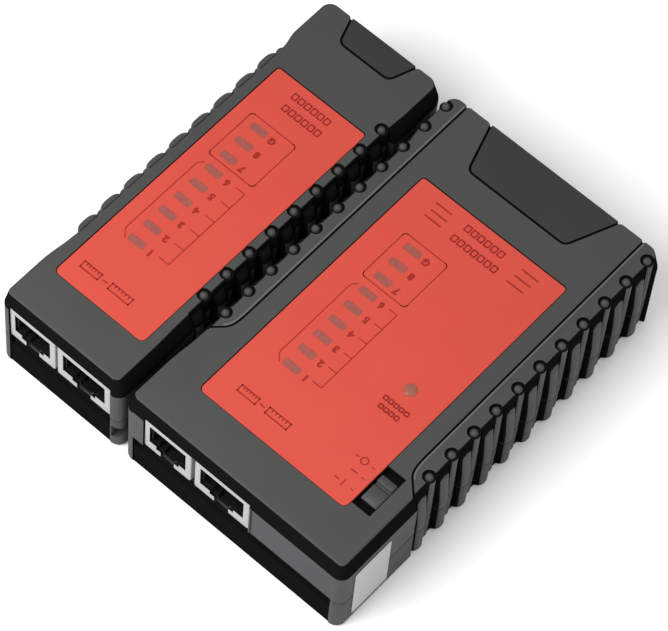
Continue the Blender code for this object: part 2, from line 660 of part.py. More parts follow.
def main():
    for old in list(bpy.data.objects):
        bpy.data.objects.remove(old)

    case_grey = material("case_plastic", (0.055, 0.055, 0.052), 0.55)
    face_red = material("label_red", (0.72, 0.075, 0.055), 0.45)
    metal = material("jack_shield", (0.62, 0.62, 0.6), 0.35, 1.0)
    black = material("black_plastic", (0.012, 0.012, 0.012), 0.5)
    gold = material("contact_gold", (0.83, 0.6, 0.25), 0.3, 1.0)
    lens = material("led_lens", (0.36, 0.24, 0.2), 0.3)
    green = material("circuit_board", (0.02, 0.16, 0.06), 0.5)
    steel = material("screw_steel", (0.5, 0.5, 0.5), 0.35, 1.0)
    paper = material("seal_foil", (0.6, 0.62, 0.61), 0.35)
    red = material("lead_red", (0.6, 0.03, 0.02), 0.5)
    jacket = material("battery_jacket", (0.05, 0.08, 0.25), 0.35)

    slide = bpy.data.objects.new("remote_slide", None)
    bpy.context.collection.objects.link(slide)
    slide.location = world(MASTER, -MASTER.half_side, MIDDLE_V, RAIL_Z)
    REMOTE.parent = slide

    for unit in (MASTER, REMOTE):
        top_shell(unit, case_grey)
        bottom_shell(unit, case_grey)
        label(unit, face_red)
        board(unit, green)
        for kind, u in unit.jacks.items():
            jack(unit, kind, u, metal, black, gold)
        for index, v in enumerate(led_v()):
            flat_led(unit, index, v, lens)
        for index, (u, v) in enumerate(unit.screws):
            screw(unit, index + 1, u, v, steel)

    battery_door(case_grey)
    power_led(lens)
    slide_switch(steel, black)
    battery(jacket, black, red, black)
    controller_chip(black)
    seal_sticker(paper)


main()
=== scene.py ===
"""Looks for the network cable tester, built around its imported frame.

Each unit is drawn in its own millimetres: u runs across from the unit's centre line, v runs along from
the edge of the top face above the jacks, and z is the height above the resting surface.
"""
from collections import namedtuple
from math import cos, pi, radians, sin, sqrt

import bmesh
import bpy
from mathutils import Matrix, Vector


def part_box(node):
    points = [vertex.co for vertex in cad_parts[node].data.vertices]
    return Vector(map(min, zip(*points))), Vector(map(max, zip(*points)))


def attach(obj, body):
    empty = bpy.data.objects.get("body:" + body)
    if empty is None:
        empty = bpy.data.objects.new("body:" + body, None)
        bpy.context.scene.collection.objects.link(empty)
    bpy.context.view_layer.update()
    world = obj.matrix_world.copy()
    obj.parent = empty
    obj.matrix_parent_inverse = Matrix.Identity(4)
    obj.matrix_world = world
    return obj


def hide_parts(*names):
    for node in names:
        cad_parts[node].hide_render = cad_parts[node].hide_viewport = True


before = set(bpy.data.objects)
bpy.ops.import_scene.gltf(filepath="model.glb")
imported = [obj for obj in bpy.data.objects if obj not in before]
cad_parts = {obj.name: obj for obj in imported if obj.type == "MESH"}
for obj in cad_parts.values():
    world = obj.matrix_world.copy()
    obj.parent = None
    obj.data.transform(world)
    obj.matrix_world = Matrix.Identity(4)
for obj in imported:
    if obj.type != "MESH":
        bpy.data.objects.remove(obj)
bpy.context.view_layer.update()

MM = 0.001
GAP = 0.3  # between neighbouring pieces
PAST = 1.0  # how far a cutter runs on past the face that it cuts

# Cases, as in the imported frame
HEIGHT = 28.0  # top faces
TOP_LENGTH = 107.8  # top face, along v
FRONT_LEAN = 1.3  # how far the front stands ahead of the top face's edge
BACK_LEAN = 1.0
BAND_LOW = 23.2  # the sloping black band runs from here to the top face
PARTING = 11.5  # height of the seam between the shells
ROOF, FLOOR, WALL, END_WALL = 2.0, 2.4, 2.4, 2.2
FRONT_CORNERS = (1.2, 2.6)  # radii of the upright corners, at the top face and at the sides
BACK_CORNERS = (2.5, 4.0)
TOP_EDGE, FOOT_EDGE, SEAM_EDGE = 0.3, 1.0, 0.25
CORNER_STEPS = 12
SHELL_SMOOTH = 38  # degrees: a shell's edges that turn by more stay sharp
BOSS_RADIUS, BOSS_TIP, HOLE_RADIUS = 3.0, 2.7, 1.5
SCREW_TOP = 19.0
BOARD_LOW, BOARD_HIGH = 10.4, 12.0
RAIL_START, RAIL_END = 12.0, 96.0  # the dovetail between the units, along v
GROOVE_CLEARANCE = 0.35

# Ribs on the long sides: a round column runs down under each stud, with a pad between each two columns
RIB_PITCH = 7.5
FIRST_RIB = 29.3
FIRST_PAD = FIRST_RIB - RIB_PITCH / 2
WAIST_IN, WAIST_OUT = (11.0, 22.0), (90.5, 96.0)  # the v over which a waisted side draws in, and out again
PAD_RISE = 0.5  # of the pads beyond the plain side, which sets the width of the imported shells
PAD_POWER = 2.8  # of the pads' rounded section: 2 is an ellipse
PAD_FOOT = (0.3, 2.4)  # heights over which the pads rise from the floor between the ribs
PAD_LEAN, PAD_LEAN_HEIGHTS = 0.8, (14.0, 25.0)  # how far the pads lean in, and where
PAD_TOP = 25.7
PAD_GREY = {True: 0.72, False: 0.05}  # a pad is grey above this part of its rise, beside studs or without, and painted black as shade below it
COLUMN_RADIUS = 1.5
COLUMN_TAPER = 0.25  # the columns draw in by this much from the seam to the foot
COLUMN_EDGE = 1.2  # their ends draw in by this many times as much as the plain side's
COLUMN_GREY = 0.4  # a column is grey where it stands out of the floor by more than this, and painted black as shade nearer the floor
STUD_RADIUS, STUD_TOP = 0.95, 28.45
STUD_RING, STUD_RING_DEPTH = 1.75, 0.7

# Top face
LABEL_LOW, LABEL_HIGH = 27.2, 27.9
LABEL_CORNERS = (1.2, 0.6)  # near the jacks, and at the far end
LABEL_MARGIN = 0.18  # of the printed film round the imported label, within its recess
LABEL_FLOOR = 27.0
WINDOW_MARGIN = 0.1  # of a window in the label round the LED under it
WINDOW_TOP, WINDOW_THICK = 27.87, 0.09
FILM_GAP = 0.02  # between a window's film and the label
PRINT_LOW, PRINT_TOP = 27.89, 27.93
LINE = 0.26  # printed lines
DIGIT_SIZE, DIGIT_SWELL = 2.4, 0.16  # the digits, and how much their strokes are thickened
PANEL_GROOVE, PANEL_DEPTH = 0.6, 0.7
GRIP_GROOVE, GRIP_DEPTH = 0.5, 0.55
GRIP_U = 26.2  # the straight stretch of a grip groove
PAST_END = TOP_LENGTH + 4  # the grooves run on past the far edge to here
GRIP_PATH = [(GRIP_U, PAST_END), (GRIP_U, 30.5), (26.7, 27.3), (32.6, 21.4)]
GROOVE_CORNER = 1.6
NOTCH_RADIUS = 0.75  # where the grooves run down the far end

# Switch
SLOT_HALF = 6.05  # half length of the knob's slot
SLOT_START = 0.1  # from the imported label's edge, within the label's recess
KNOB_BASE = 24.6  # underside of the knob's cap
SHUTTER_TRAVEL = 2.2  # the black shutter under the knob, painted shade in the slot, reaches this far past its slot

# Slots of a shell's materials: black serves the band and, as painted shade, the grooves, rings, openings
# and gaps
MATTE, BLACK_AND_SHADE, PANEL, SATIN = range(4)

# name: (socket width, tab slot widths, contacts)
JACKS = {"rj45": (11.9, (6.4, 3.4), 8), "rj11": (9.9, (6.2, 3.2), 6)}
JACK_CLEARANCE = 0.15  # of the case round the jacks
SHIELD_THIN, SHIELD_PLATE, SHIELD_CORNER = 0.4, 0.6, 0.6
SOCKET_LOW, SOCKET_HIGH = 15.6, 22.3
SOCKET_DEPTH = 13.0
CONTACT_PITCH, CONTACT_RADIUS = 1.02, 0.16
# (v, z) of a contact spring, from the back of the socket to its front and down under itself
CONTACT_ROUTE = [(12.8, 22.35), (6.0, 22.3), (3.6, 22.2), (3.0, 21.9), (3.0, 21.5), (3.6, 21.1),
                 (6.0, 20.3), (9.0, 19.3), (11.4, 18.5), (11.9, 18.4)]


# One long side of a case: half the top face's width there, how much the ribbed stretch is waisted, how far
# the floor between the ribs stands out of the studs' line, the pads' half width and top and the height
# over which they round off, whether it faces the other unit, and whether the columns end in studs
Flank = namedtuple("Flank", "half_top waist floor_out pad_half pad_top pad_round in_gap studded")

# The panel at the far end: the v where it starts, and the u of its sides there and at the far edge
Panel = namedtuple("Panel", "start near far")


class Unit:
    """One of the two cases, measured from its CAD nodes."""

    def __init__(self, name, flanks, ribs, stud_u, panel, screws):
        low, high = (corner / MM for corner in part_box(name + "_top_shell"))
        self.name = name
        self.centre = (low.x + high.x) / 2
        self.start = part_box(name + "_bottom_shell")[0].y / MM + FRONT_LEAN
        self.half_side = (high.x - low.x) / 2 - PAD_RISE
        self.flanks = dict(zip((-1, 1), flanks))
        self.rib_v = [FIRST_RIB + RIB_PITCH * i for i in range(ribs)]
        self.stud_u = stud_u
        self.panel = panel
        self.screws = screws
        self.half_inside = self.half_side - WALL

    def span(self, node):
        """((u0, u1), (v0, v1), (z0, z1)) of a CAD node."""
        low, high = (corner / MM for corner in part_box(node))
        return ((low.x - self.centre, high.x - self.centre), (low.y - self.start, high.y - self.start),
                (low.z, high.z))

    def place(self, u, v, z):
        return Vector((self.centre + u, self.start + v, z)) * MM


OPEN_FLANK = Flank(half_top=30.75, waist=0.0, floor_out=0.6, pad_half=1.75, pad_top=PAD_TOP,
                   pad_round=2.7, in_gap=False, studded=True)
MASTER = Unit(
    "master", ribs=11, stud_u=30.0, flanks=(OPEN_FLANK._replace(waist=0.7, in_gap=True), OPEN_FLANK),
    panel=Panel(start=94.5, near=(-14.9, 13.8), far=(-19.2, 19.2)),
    screws=[(-24.8, 33.0), (24.8, 33.0), (-24.8, 69.0), (24.8, 69.0)])
REMOTE = Unit(
    "remote", ribs=9, stud_u=15.25,
    flanks=(OPEN_FLANK._replace(half_top=17.15, waist=0.95, floor_out=0.9, pad_half=2.9, pad_top=27.6,
                                pad_round=1.2, studded=False),
            OPEN_FLANK._replace(half_top=16.5, waist=0.3, floor_out=0.9, in_gap=True)),
    panel=Panel(start=100.4, near=(-7.5, 7.5), far=(-10.1, 10.1)),
    screws=[(0.0, 21.5), (0.0, 92.0)])
UNITS = (MASTER, REMOTE)


# ---- materials

def nodes_of(material):
    material.use_nodes = True
    tree = material.node_tree
    return tree.nodes, tree.links, tree.nodes["Principled BSDF"]


def put(node, **values):
    """Sets a node's inputs, by their names with _ for each space."""
    for name, value in values.items():
        node.inputs[name.replace("_", " ")].default_value = value
    return node


def noise(nodes, links, coordinates, scale, detail):
    made = put(nodes.new("ShaderNodeTexNoise"), Scale=scale, Detail=detail, Roughness=0.55)
    links.new(coordinates, made.inputs["Vector"])
    return made.outputs["Fac"]


def spread(nodes, links, factor, low, high):
    """Maps the middle of a noise's range to low..high."""
    made = put(nodes.new("ShaderNodeMapRange"), From_Min=0.3, From_Max=0.7, To_Min=low, To_Max=high)
    links.new(factor, made.inputs["Value"])
    return made.outputs["Result"]


def surface(name, colour, roughness, metallic=0.0, specular=0.5, grain=(1800.0, 0.25), grain_height=0.02,
            mottle=0.06, mottle_scale=60.0, streak=None, coat=0.0):
    """A procedural finish: a mottled colour, a varied roughness and a fine moulded or drawn grain."""
    material = bpy.data.materials.new(name)
    nodes, links, shader = nodes_of(material)
    put(shader, Metallic=metallic, Specular_IOR_Level=specular, Coat_Weight=coat, Coat_Roughness=0.15)
    coordinates = nodes.new("ShaderNodeTexCoord").outputs["Object"]
    if streak:
        mapping = put(nodes.new("ShaderNodeMapping"), Scale=streak)
        links.new(coordinates, mapping.inputs["Vector"])
        coordinates = mapping.outputs["Vector"]

    broad = noise(nodes, links, coordinates, mottle_scale, 3.0)
    fine = noise(nodes, links, coordinates, grain[0], 2.0)
    both = nodes.new("ShaderNodeMath")
    both.operation = "MULTIPLY_ADD"
    links.new(fine, both.inputs[0])
    both.inputs[1].default_value = 0.35
    links.new(broad, both.inputs[2])
    ramp = nodes.new("ShaderNodeValToRGB")
    dark, light = ramp.color_ramp.elements
    dark.position, light.position = 0.4, 0.95
    dark.color = (*(c * (1 - mottle) for c in colour), 1)
    light.color = (*(min(1.0, c * (1 + mottle)) for c in colour), 1)
    links.new(both.outputs[0], ramp.inputs["Fac"])
    links.new(ramp.outputs["Color"], shader.inputs["Base Color"])
    links.new(spread(nodes, links, broad, roughness * 0.9, min(1.0, roughness * 1.1)),
              shader.inputs["Roughness"])

    bump = put(nodes.new("ShaderNodeBump"), Strength=grain[1], Distance=grain_height * MM)
    links.new(fine, bump.inputs["Height"])
    links.new(bump.outputs["Normal"], shader.inputs["Normal"])
    return material


def flecked(material, colour, scale, size, strength):
    """Adds small flecks of another colour to a finish, such as glitter or printing dots."""
    nodes, links, shader = nodes_of(material)
    coordinates = nodes.new("ShaderNodeTexCoord").outputs["Object"]
    cells = put(nodes.new("ShaderNodeTexVoronoi"), Scale=scale)
    links.new(coordinates, cells.inputs["Vector"])
    near = put(nodes.new("ShaderNodeMapRange"), From_Min=size, From_Max=0.0, To_Max=strength)
    links.new(cells.outputs["Distance"], near.inputs["Value"])
    mix = nodes.new("ShaderNodeMix")
    mix.data_type = "RGBA"
    base = shader.inputs["Base Color"].links[0].from_socket
    links.new(near.outputs["Result"], mix.inputs["Factor"])
    links.new(base, mix.inputs["A"])
    mix.inputs["B"].default_value = (*colour, 1)
    links.new(mix.outputs["Result"], shader.inputs["Base Color"])
    return material


case_matte = surface("case_matte", (0.043, 0.043, 0.042), 0.62, specular=0.28, grain=(2600.0, 0.5),
                     grain_height=0.03, mottle=0.05)
# Black plastic on the band, and painted shade in grooves, rings, slots, openings and gaps
case_black_and_shade = surface("case_black_and_shade", (0.006, 0.006, 0.006), 0.6, specular=0.0, mottle=0.1)
case_panel = surface("case_panel", (0.025, 0.025, 0.025), 0.6, specular=0.25, grain=(2600.0, 0.5),
                     grain_height=0.03)
case_satin = surface("case_satin", (0.025, 0.026, 0.030), 0.5, specular=0.25, grain=(2200.0, 0.2))
rib_grey = surface("rib_grey", (0.09, 0.09, 0.088), 0.5, specular=0.4, grain=(2600.0, 0.3))
label_film = surface("label_film", (0.46, 0.056, 0.038), 0.5, specular=0.2, grain=(3200.0, 0.25),
                     grain_height=0.01, mottle=0.03, mottle_scale=35.0)
label_ink = surface("label_ink", (0.25, 0.015, 0.011), 0.5, specular=0.2, mottle=0.12,
                    mottle_scale=400.0)
window_film = surface("window_film", (0.245, 0.064, 0.052), 0.4, specular=0.3, mottle=0.12,
                      mottle_scale=900.0)
round_film = surface("round_film", (0.235, 0.072, 0.049), 0.3, mottle=0.1, mottle_scale=900.0)
jack_metal = surface("jack_metal", (0.35, 0.35, 0.34), 0.38, metallic=0.35, grain=(1500.0, 0.2),
                     mottle=0.05, streak=(1.0, 1.0, 0.15))
# Black plastic for the housings, and painted shade inside the jacks' metal frames
jack_black_and_shade = surface("jack_black_and_shade", (0.005, 0.005, 0.005), 0.45, specular=0.1, mottle=0.1)
contact_gold = surface("contact_gold", (0.83, 0.56, 0.2), 0.28, metallic=1.0, mottle=0.05)
led_lens = surface("led_lens", (0.42, 0.36, 0.32), 0.25, mottle=0.05, mottle_scale=300.0)
board_green = flecked(surface("board_green", (0.015, 0.12, 0.045), 0.4, mottle=0.15, mottle_scale=120.0,
                              coat=0.3), (0.35, 0.3, 0.12), 260.0, 0.18, 0.8)
screw_steel = surface("screw_steel", (0.45, 0.45, 0.46), 0.32, metallic=1.0, mottle=0.1,
                      grain=(900.0, 0.3), streak=(1.0, 1.0, 0.2))
battery_jacket = surface("battery_jacket", (0.03, 0.06, 0.22), 0.3, metallic=0.2, mottle=0.1,
                         mottle_scale=150.0, coat=0.4)
snap_plastic = surface("snap_plastic", (0.012, 0.012, 0.013), 0.5, mottle=0.15)
chip_plastic = surface("chip_plastic", (0.014, 0.014, 0.015), 0.6, mottle=0.2, grain=(3000.0, 0.6))
lead_red = surface("lead_red", (0.55, 0.02, 0.015), 0.4, mottle=0.08, coat=0.2)
lead_black = surface("lead_black", (0.012, 0.012, 0.012), 0.4, mottle=0.1, coat=0.2)
seal_foil = flecked(surface("seal_foil", (0.345, 0.355, 0.345), 0.4, specular=0.6, mottle_scale=220.0),
                    (0.72, 0.74, 0.73), 1600.0, 0.25, 0.6)
switch_metal = surface("switch_metal", (0.5, 0.5, 0.48), 0.35, metallic=1.0, mottle=0.08,
                       streak=(1.0, 0.2, 1.0))
knob_plastic = surface("knob_plastic", (0.040, 0.040, 0.039), 0.5, specular=0.25, grain=(2600.0, 0.4))

SHELL_MATERIALS = [case_matte, case_black_and_shade, case_panel, case_satin]


# ---- mesh helpers

def loft(bm, loops, index=0):
    """Adds a closed skin through loops that have the same number of points to bm, and returns bm."""
    rings = [[bm.verts.new(point) for point in loop] for loop in loops]
    count = len(rings[0])
    faces = []
    for low, high in zip(rings, rings[1:]):
        for i in range(count):
            j = (i + 1) % count
            faces.append(bm.faces.new((low[i], low[j], high[j], high[i])))
    faces.append(bm.faces.new(rings[0][::-1]))
    faces.append(bm.faces.new(rings[-1]))
    for face in faces:
        face.material_index = index
    return bm


def prism(bm, unit, outline, zs, index=0):
    return loft(bm, [[unit.place(u, v, z) for u, v in outline] for z in zs], index)


def box(bm, unit, us, vs, zs, index=0):
    return prism(bm, unit, [(us[0], vs[0]), (us[1], vs[0]), (us[1], vs[1]), (us[0], vs[1])], zs, index)


def long_prism(bm, unit, outline, vs, index=0):
    """An outline of (u, z) extruded along."""
    return loft(bm, [[unit.place(u, v, z) for u, z in outline] for v in vs], index)


def cross_prism(bm, unit, outline, us, index=0):
    """An outline of (v, z) extruded across."""
    return loft(bm, [[unit.place(u, v, z) for v, z in outline] for u in us], index)


def turned(bm, unit, u, v, profile, sides=24, index=0):
    """A solid of revolution about a vertical axis: profile is (radius, z) from one end to the other."""
    turn = 2 * pi / sides
    return loft(bm, [[unit.place(u + r * cos(i * turn), v + r * sin(i * turn), z)
                      for i in range(sides)] for r, z in profile], index)


def rounded(u0, u1, v0, v1, radius, steps=6, far=None):
    """A rounded rectangle, counterclockwise; far is the radius at v1, if it is another one."""
    far = radius if far is None else far
    corners = [(u1 - radius, v0 + radius, radius, -90), (u1 - far, v1 - far, far, 0),
               (u0 + far, v1 - far, far, 90), (u0 + radius, v0 + radius, radius, 180)]
    return [(u + r * cos(turn), v + r * sin(turn)) for u, v, r, start in corners
            for turn in (radians(start + 90 * step / steps) for step in range(steps + 1))]


def eased(path, radius, steps=6):
    """An open path of (u, v) with its corners rounded."""
    made = [Vector(path[0])]
    for before, here, after in zip(path, path[1:], path[2:]):
        here = Vector(here)
        back, on = (Vector(before) - here), (Vector(after) - here)
        reach = min(radius, back.length / 2, on.length / 2)
        first, last = here + back.normalized() * reach, here + on.normalized() * reach
        for step in range(steps + 1):
            t = step / steps
            made.append(first * (1 - t) ** 2 + here * 2 * t * (1 - t) + last * t ** 2)
    made.append(Vector(path[-1]))
    return made


def heading(path, i):
    """The direction of an open path at its point i."""
    return (Vector(path[min(i + 1, len(path) - 1)]) - Vector(path[max(i - 1, 0)])).normalized()


def shifted(path, by):
    """An open path of (u, v), moved to its left by this much."""
    made = []
    for i, here in enumerate(path):
        along = heading(path, i)
        made.append(Vector(here) + Vector((-along.y, along.x)) * by)
    return made


def strip(path, width):
    """The outline of a band of this width along an open path."""
    return shifted(path, -width / 2) + shifted(path, width / 2)[::-1]


def tube(bm, points, radius, sides=8):
    """A round wire through points in the row frame."""
    loops = []
    for i, here in enumerate(points):
        along = heading(points, i)
        side = along.cross(Vector((0.0, 0.0, 1.0)))
        side = side.normalized() if side.length > 0.01 else Vector((1.0, 0.0, 0.0))
        up = side.cross(along).normalized()
        loops.append([here + (side * cos(2 * pi * k / sides)
                              + up * sin(2 * pi * k / sides)) * radius for k in range(sides)])
    loft(bm, loops)


def shade_smooth(mesh, angle):
    """Smooth shading, but sharp at edges that turn by more than this many degrees."""
    mesh.shade_smooth()
    mesh.set_sharp_from_angle(angle=radians(angle))


def add_object(name, data):
    made = bpy.data.objects.new(name, data)
    bpy.context.scene.collection.objects.link(made)
    return made


def make(name, bm, materials=(), smooth=None):
    """An object from a bmesh; smooth is the angle up to which its shading is smooth."""
    bmesh.ops.recalc_face_normals(bm, faces=bm.faces)
    mesh = bpy.data.meshes.new(name)
    bm.to_mesh(mesh)
    bm.free()
    for material in materials:
        mesh.materials.append(material)
    if smooth:
        shade_smooth(mesh, smooth)
    return add_object(name, mesh)


def evaluated_mesh(source):
    """A new mesh of what an object and its modifiers come out as."""
    bpy.context.view_layer.update()
    depsgraph = bpy.context.evaluated_depsgraph_get()
    return bpy.data.meshes.new_from_object(source.evaluated_get(depsgraph))


def apply_modifiers(target):
    mesh = evaluated_mesh(target)
    target.modifiers.clear()
    target.data = mesh


def combine(target, bm, operation="DIFFERENCE"):
    """A Boolean of the target with the shapes in bm, which don't touch each other."""
    tool = make("tool", bm)
    modifier = target.modifiers.new("combine", "BOOLEAN")
    modifier.operation = operation
    modifier.solver = "EXACT"
    modifier.object = tool
    apply_modifiers(target)
    bpy.data.objects.remove(tool)


def edge_rounding(target, width, segments=2):
    """Adds a modifier that rounds the sharp edges."""
    modifier = target.modifiers.new("soften", "BEVEL")
    modifier.width = width * MM
    modifier.segments = segments
    modifier.limit_method = "ANGLE"
    modifier.angle_limit = radians(40)


def soften(target, width, segments=2, smooth=40):
    """Rounds the sharp edges for good."""
    edge_rounding(target, width, segments)
    apply_modifiers(target)
    shade_smooth(target.data, smooth)


def piece(made, body, slot, *replaced):
    """Makes an object a piece of the model: its body and the CAD nodes that it stands for. Its slot, a
    finish, is not used.
    """
    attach(made, body)
    if replaced:
        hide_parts(*replaced)


# ---- cases

def smoothstep(low, high, x):
    t = min(max((x - low) / (high - low), 0.0), 1.0)
    return t * t * (3 - 2 * t)


def edge(distance, radius):
    """How far a rounded edge has drawn in at this distance before its end."""
    short = 1 - min(max(distance, 0.0) / radius, 1.0)
    return radius * (1 - sqrt(1 - short * short))


def slope(z):
    """0 up to the foot of the sloping band, then 1 at the top face."""
    return max(0.0, (z - BAND_LOW) / (HEIGHT - BAND_LOW))


def drawn_in(z):
    """How far the rounded edges of a shell draw the wall in at a height."""
    return (edge(HEIGHT - z, TOP_EDGE) + edge(z, FOOT_EDGE)
            + edge(abs(z - PARTING) - GAP / 2, SEAM_EDGE))


def side(unit, sign, v, z):
    """Half width of a case at (v, z), without its ribs: the ribbed stretch can be a little waisted."""
    flank = unit.flanks[sign]
    half = unit.half_side + (flank.half_top - unit.half_side) * slope(z) - drawn_in(z)
    return half - flank.waist * smoothstep(*WAIST_IN, v) * (1 - smoothstep(*WAIST_OUT, v))


def from_stud(v):
    """Distance along from the nearest stud's line."""
    return abs((v - FIRST_RIB + RIB_PITCH / 2) % RIB_PITCH - RIB_PITCH / 2)


def ribbed(unit, sign):
    """The v where a side's ribs start, and where they end."""
    return FIRST_PAD - unit.flanks[sign].pad_half - 0.5, unit.rib_v[-1] + COLUMN_RADIUS


def column_out(unit, away, z):
    """How far out a column stands at a height, at this distance along from its stud's line."""
    taper = COLUMN_TAPER * (1 - smoothstep(0.0, PARTING, z))
    return unit.stud_u + sqrt(COLUMN_RADIUS ** 2 - away ** 2) - taper - COLUMN_EDGE * drawn_in(z)


def pad_rise(flank, away, z):
    """How much of its full rise a pad has at a height, at this distance along from a stud's line."""
    upper = min(1.0, max(0.0, (flank.pad_top - z) / flank.pad_round))
    rounding = sqrt(1 - (1 - upper) ** 2) * smoothstep(*PAD_FOOT, z)
    across = min((RIB_PITCH / 2 - away) / flank.pad_half, 1.0)
    return (1 - across ** PAD_POWER) ** (1 / PAD_POWER) * rounding


def ribs(unit, sign, v, z):
    """(how far out the ribbed side stands at (v, z), the material that shows there)."""
    flank = unit.flanks[sign]
    plain = side(unit, sign, v, z)
    start, end = ribbed(unit, sign)
    if not start < v < end:
        return plain, BLACK_AND_SHADE if BAND_LOW < z < HEIGHT - TOP_EDGE else MATTE
    floor = min(plain, unit.stud_u + flank.floor_out)
    away = from_stud(v)
    column = column_out(unit, away, z) if v > FIRST_PAD and away < COLUMN_RADIUS else 0.0
    beside = FIRST_PAD - flank.pad_half < v < unit.rib_v[-1]
    pad = pad_rise(flank, away, z) if beside else 0.0
    lean = PAD_LEAN * smoothstep(*PAD_LEAN_HEIGHTS, z)
    pad_out = floor + (unit.half_side + PAD_RISE - lean - drawn_in(z) - floor) * pad
    out = max(floor, column, pad_out)
    # The floor between the ribs, and pads and columns that stand out of it only a little, are painted black
    # as shade.
    if out == floor:
        return out, BLACK_AND_SHADE
    grey = column > floor + COLUMN_GREY if out == column else pad > PAD_GREY[flank.studded]
    return out, MATTE if grey else BLACK_AND_SHADE


def side_points(unit, sign):
    """The v of a case outline's points on a long side, close together on the curves of the ribs."""
    made = [4.5 + 2.0 * i for i in range(8)]
    pad_half = unit.flanks[sign].pad_half
    start, end = ribbed(unit, sign)
    steps = [sin(radians(a)) for a in range(-90, 91, 12)]
    for v in unit.rib_v:
        made += [v - RIB_PITCH / 2 + pad_half * s for s in steps]
        made += [v + (COLUMN_RADIUS - 0.2) * s for s in steps]
    made += [start - 0.02, start + 0.02, end - 0.02]
    last = TOP_LENGTH + BACK_LEAN - BACK_CORNERS[1] - 0.3
    made += [end + 0.05 + i for i in range(14)] + [last]
    return sorted({round(v, 3) for v in made if v <= last})


def case_loop(unit, z):
    """Outline of a case at a height, counterclockwise: corners and ribbed long sides."""
    inset = drawn_in(z)
    front, back = FRONT_LEAN * (1 - slope(z)) - inset, BACK_LEAN * (1 - slope(z)) - inset
    loop = []
    for u_sign, v_sign, start in ((1, -1, -90), (1, 1, 0), (-1, 1, 90), (-1, -1, 180)):
        high, low = BACK_CORNERS if v_sign > 0 else FRONT_CORNERS
        corner = low + (high - low) * slope(z) - inset
        v = TOP_LENGTH + back - corner if v_sign > 0 else corner - front
        for step in range(CORNER_STEPS + 1):
            angle = radians(start + 90 * step / CORNER_STEPS)
            at_v = v + corner * sin(angle)
            half = ribs(unit, u_sign, at_v, z)[0] if v_sign > 0 else side(unit, u_sign, at_v, z)
            loop.append((u_sign * (half - corner) + corner * cos(angle), at_v))
        if (u_sign, v_sign) == (1, -1):
            loop += [(ribs(unit, 1, v, z)[0], v) for v in side_points(unit, 1)]
        if (u_sign, v_sign) == (-1, 1):
            loop += [(-ribs(unit, -1, v, z)[0], v) for v in reversed(side_points(unit, -1))]
    return loop


def case_skin(unit, levels):
    """The outside of a shell: black on its band, and painted black as shade down between its ribs and on
    the upper side that faces the other unit.
    """
    bm = bmesh.new()
    loft(bm, [[unit.place(u, v, z) for u, v in case_loop(unit, z)] for z in levels])
    for face in bm.faces:
        centre = face.calc_center_median() / MM
        u, v = centre.x - unit.centre, centre.y - unit.start
        if len(face.verts) > 4:
            continue
        if abs(u) > unit.stud_u - 0.5:
            sign = 1 if u > 0 else -1
            # The side that faces the other unit is painted black as shade from a little under the band up
            # to the top face.
            shaded_in_gap = unit.flanks[sign].in_gap and BAND_LOW - 1.5 < centre.z < HEIGHT - 0.1
            face.material_index = BLACK_AND_SHADE if shaded_in_gap else ribs(unit, sign, v, centre.z)[1]
        elif BAND_LOW < centre.z < HEIGHT - TOP_EDGE:
            face.material_index = BLACK_AND_SHADE
    return bm


def between(low, high, count):
    """Evenly spaced heights from low up to the last one before high."""
    return [low + (high - low) * i / count for i in range(count)]


def inside_outline(unit, right):
    """Outline of a case's hollow, up to this u on the right."""
    return rounded(-unit.half_inside, right, 0.7, TOP_LENGTH + BACK_LEAN - END_WALL, 1.5)


def jack_span(unit):
    """The u that both jacks take in the front wall."""
    spans = [unit.span(f"{unit.name}_{kind}_shield")[0] for kind in JACKS]
    return min(low for low, _ in spans) - JACK_CLEARANCE, max(high for _, high in spans) + JACK_CLEARANCE


def grip_paths():
    """The grip grooves on the master's top, right and left."""
    path = eased(GRIP_PATH, GROOVE_CORNER)
    return [path, [Vector((-u, v)) for u, v in reversed(path)]]


def panel_path(unit):
    """The groove round the panel at the far end."""
    start, near, far = unit.panel
    reach = (PAST_END - start) / (TOP_LENGTH - start)
    left, right = [near[i] + (far[i] - near[i]) * reach for i in (0, 1)]
    return eased([(left, PAST_END), (near[0], start), (near[1], start), (right, PAST_END)], GROOVE_CORNER)


def label_outline(unit, margin):
    """The label's outline, grown by a margin: its far corners are the sharper ones."""
    (u0, u1), (v0, v1), _ = unit.span(unit.name + "_label")
    near, far = LABEL_CORNERS
    return rounded(u0 - margin, u1 + margin, v0 - margin, v1 + margin, near + margin, 6, far + margin)


def led_nodes(unit):
    return [f"{unit.name}_led_{i + 1}" for i in range(8)] + [unit.name + "_led_g"]


def flat_windows(unit, margin):
    """Outlines of the windows over the nine flat LEDs."""
    spans = [unit.span(node) for node in led_nodes(unit)]
    return [rounded(u0 - margin, u1 + margin, v0 - margin, v1 + margin, 0.5, 4)
            for (u0, u1), (v0, v1), _ in spans]


def power_led(margin):
    """(u, v) of the master's round LED, and its radius grown by a margin."""
    (u0, u1), (v0, v1), _ = MASTER.span("master_power_led")
    return (u0 + u1) / 2, (v0 + v1) / 2, (u1 - u0) / 2 + margin


def windows(unit, margin):
    """Outlines of the windows over all LEDs."""
    outlines = flat_windows(unit, margin)
    if unit is MASTER:
        u, v, radius = power_led(margin)
        turn = 2 * pi / 32
        outlines.append([(u + radius * cos(i * turn), v + radius * sin(i * turn))
                         for i in range(32)])
    return outlines


def knob_slot():
    """((u0, u1), (v0, v1)) of the slot that the switch knob slides in, beside the label's recess."""
    (_, u1), (v0, v1), _ = MASTER.span("switch_knob")
    (_, label_edge), _, _ = MASTER.span("master_label")
    middle = (v0 + v1) / 2
    return (label_edge + SLOT_START, u1 + GAP), (middle - SLOT_HALF, middle + SLOT_HALF)


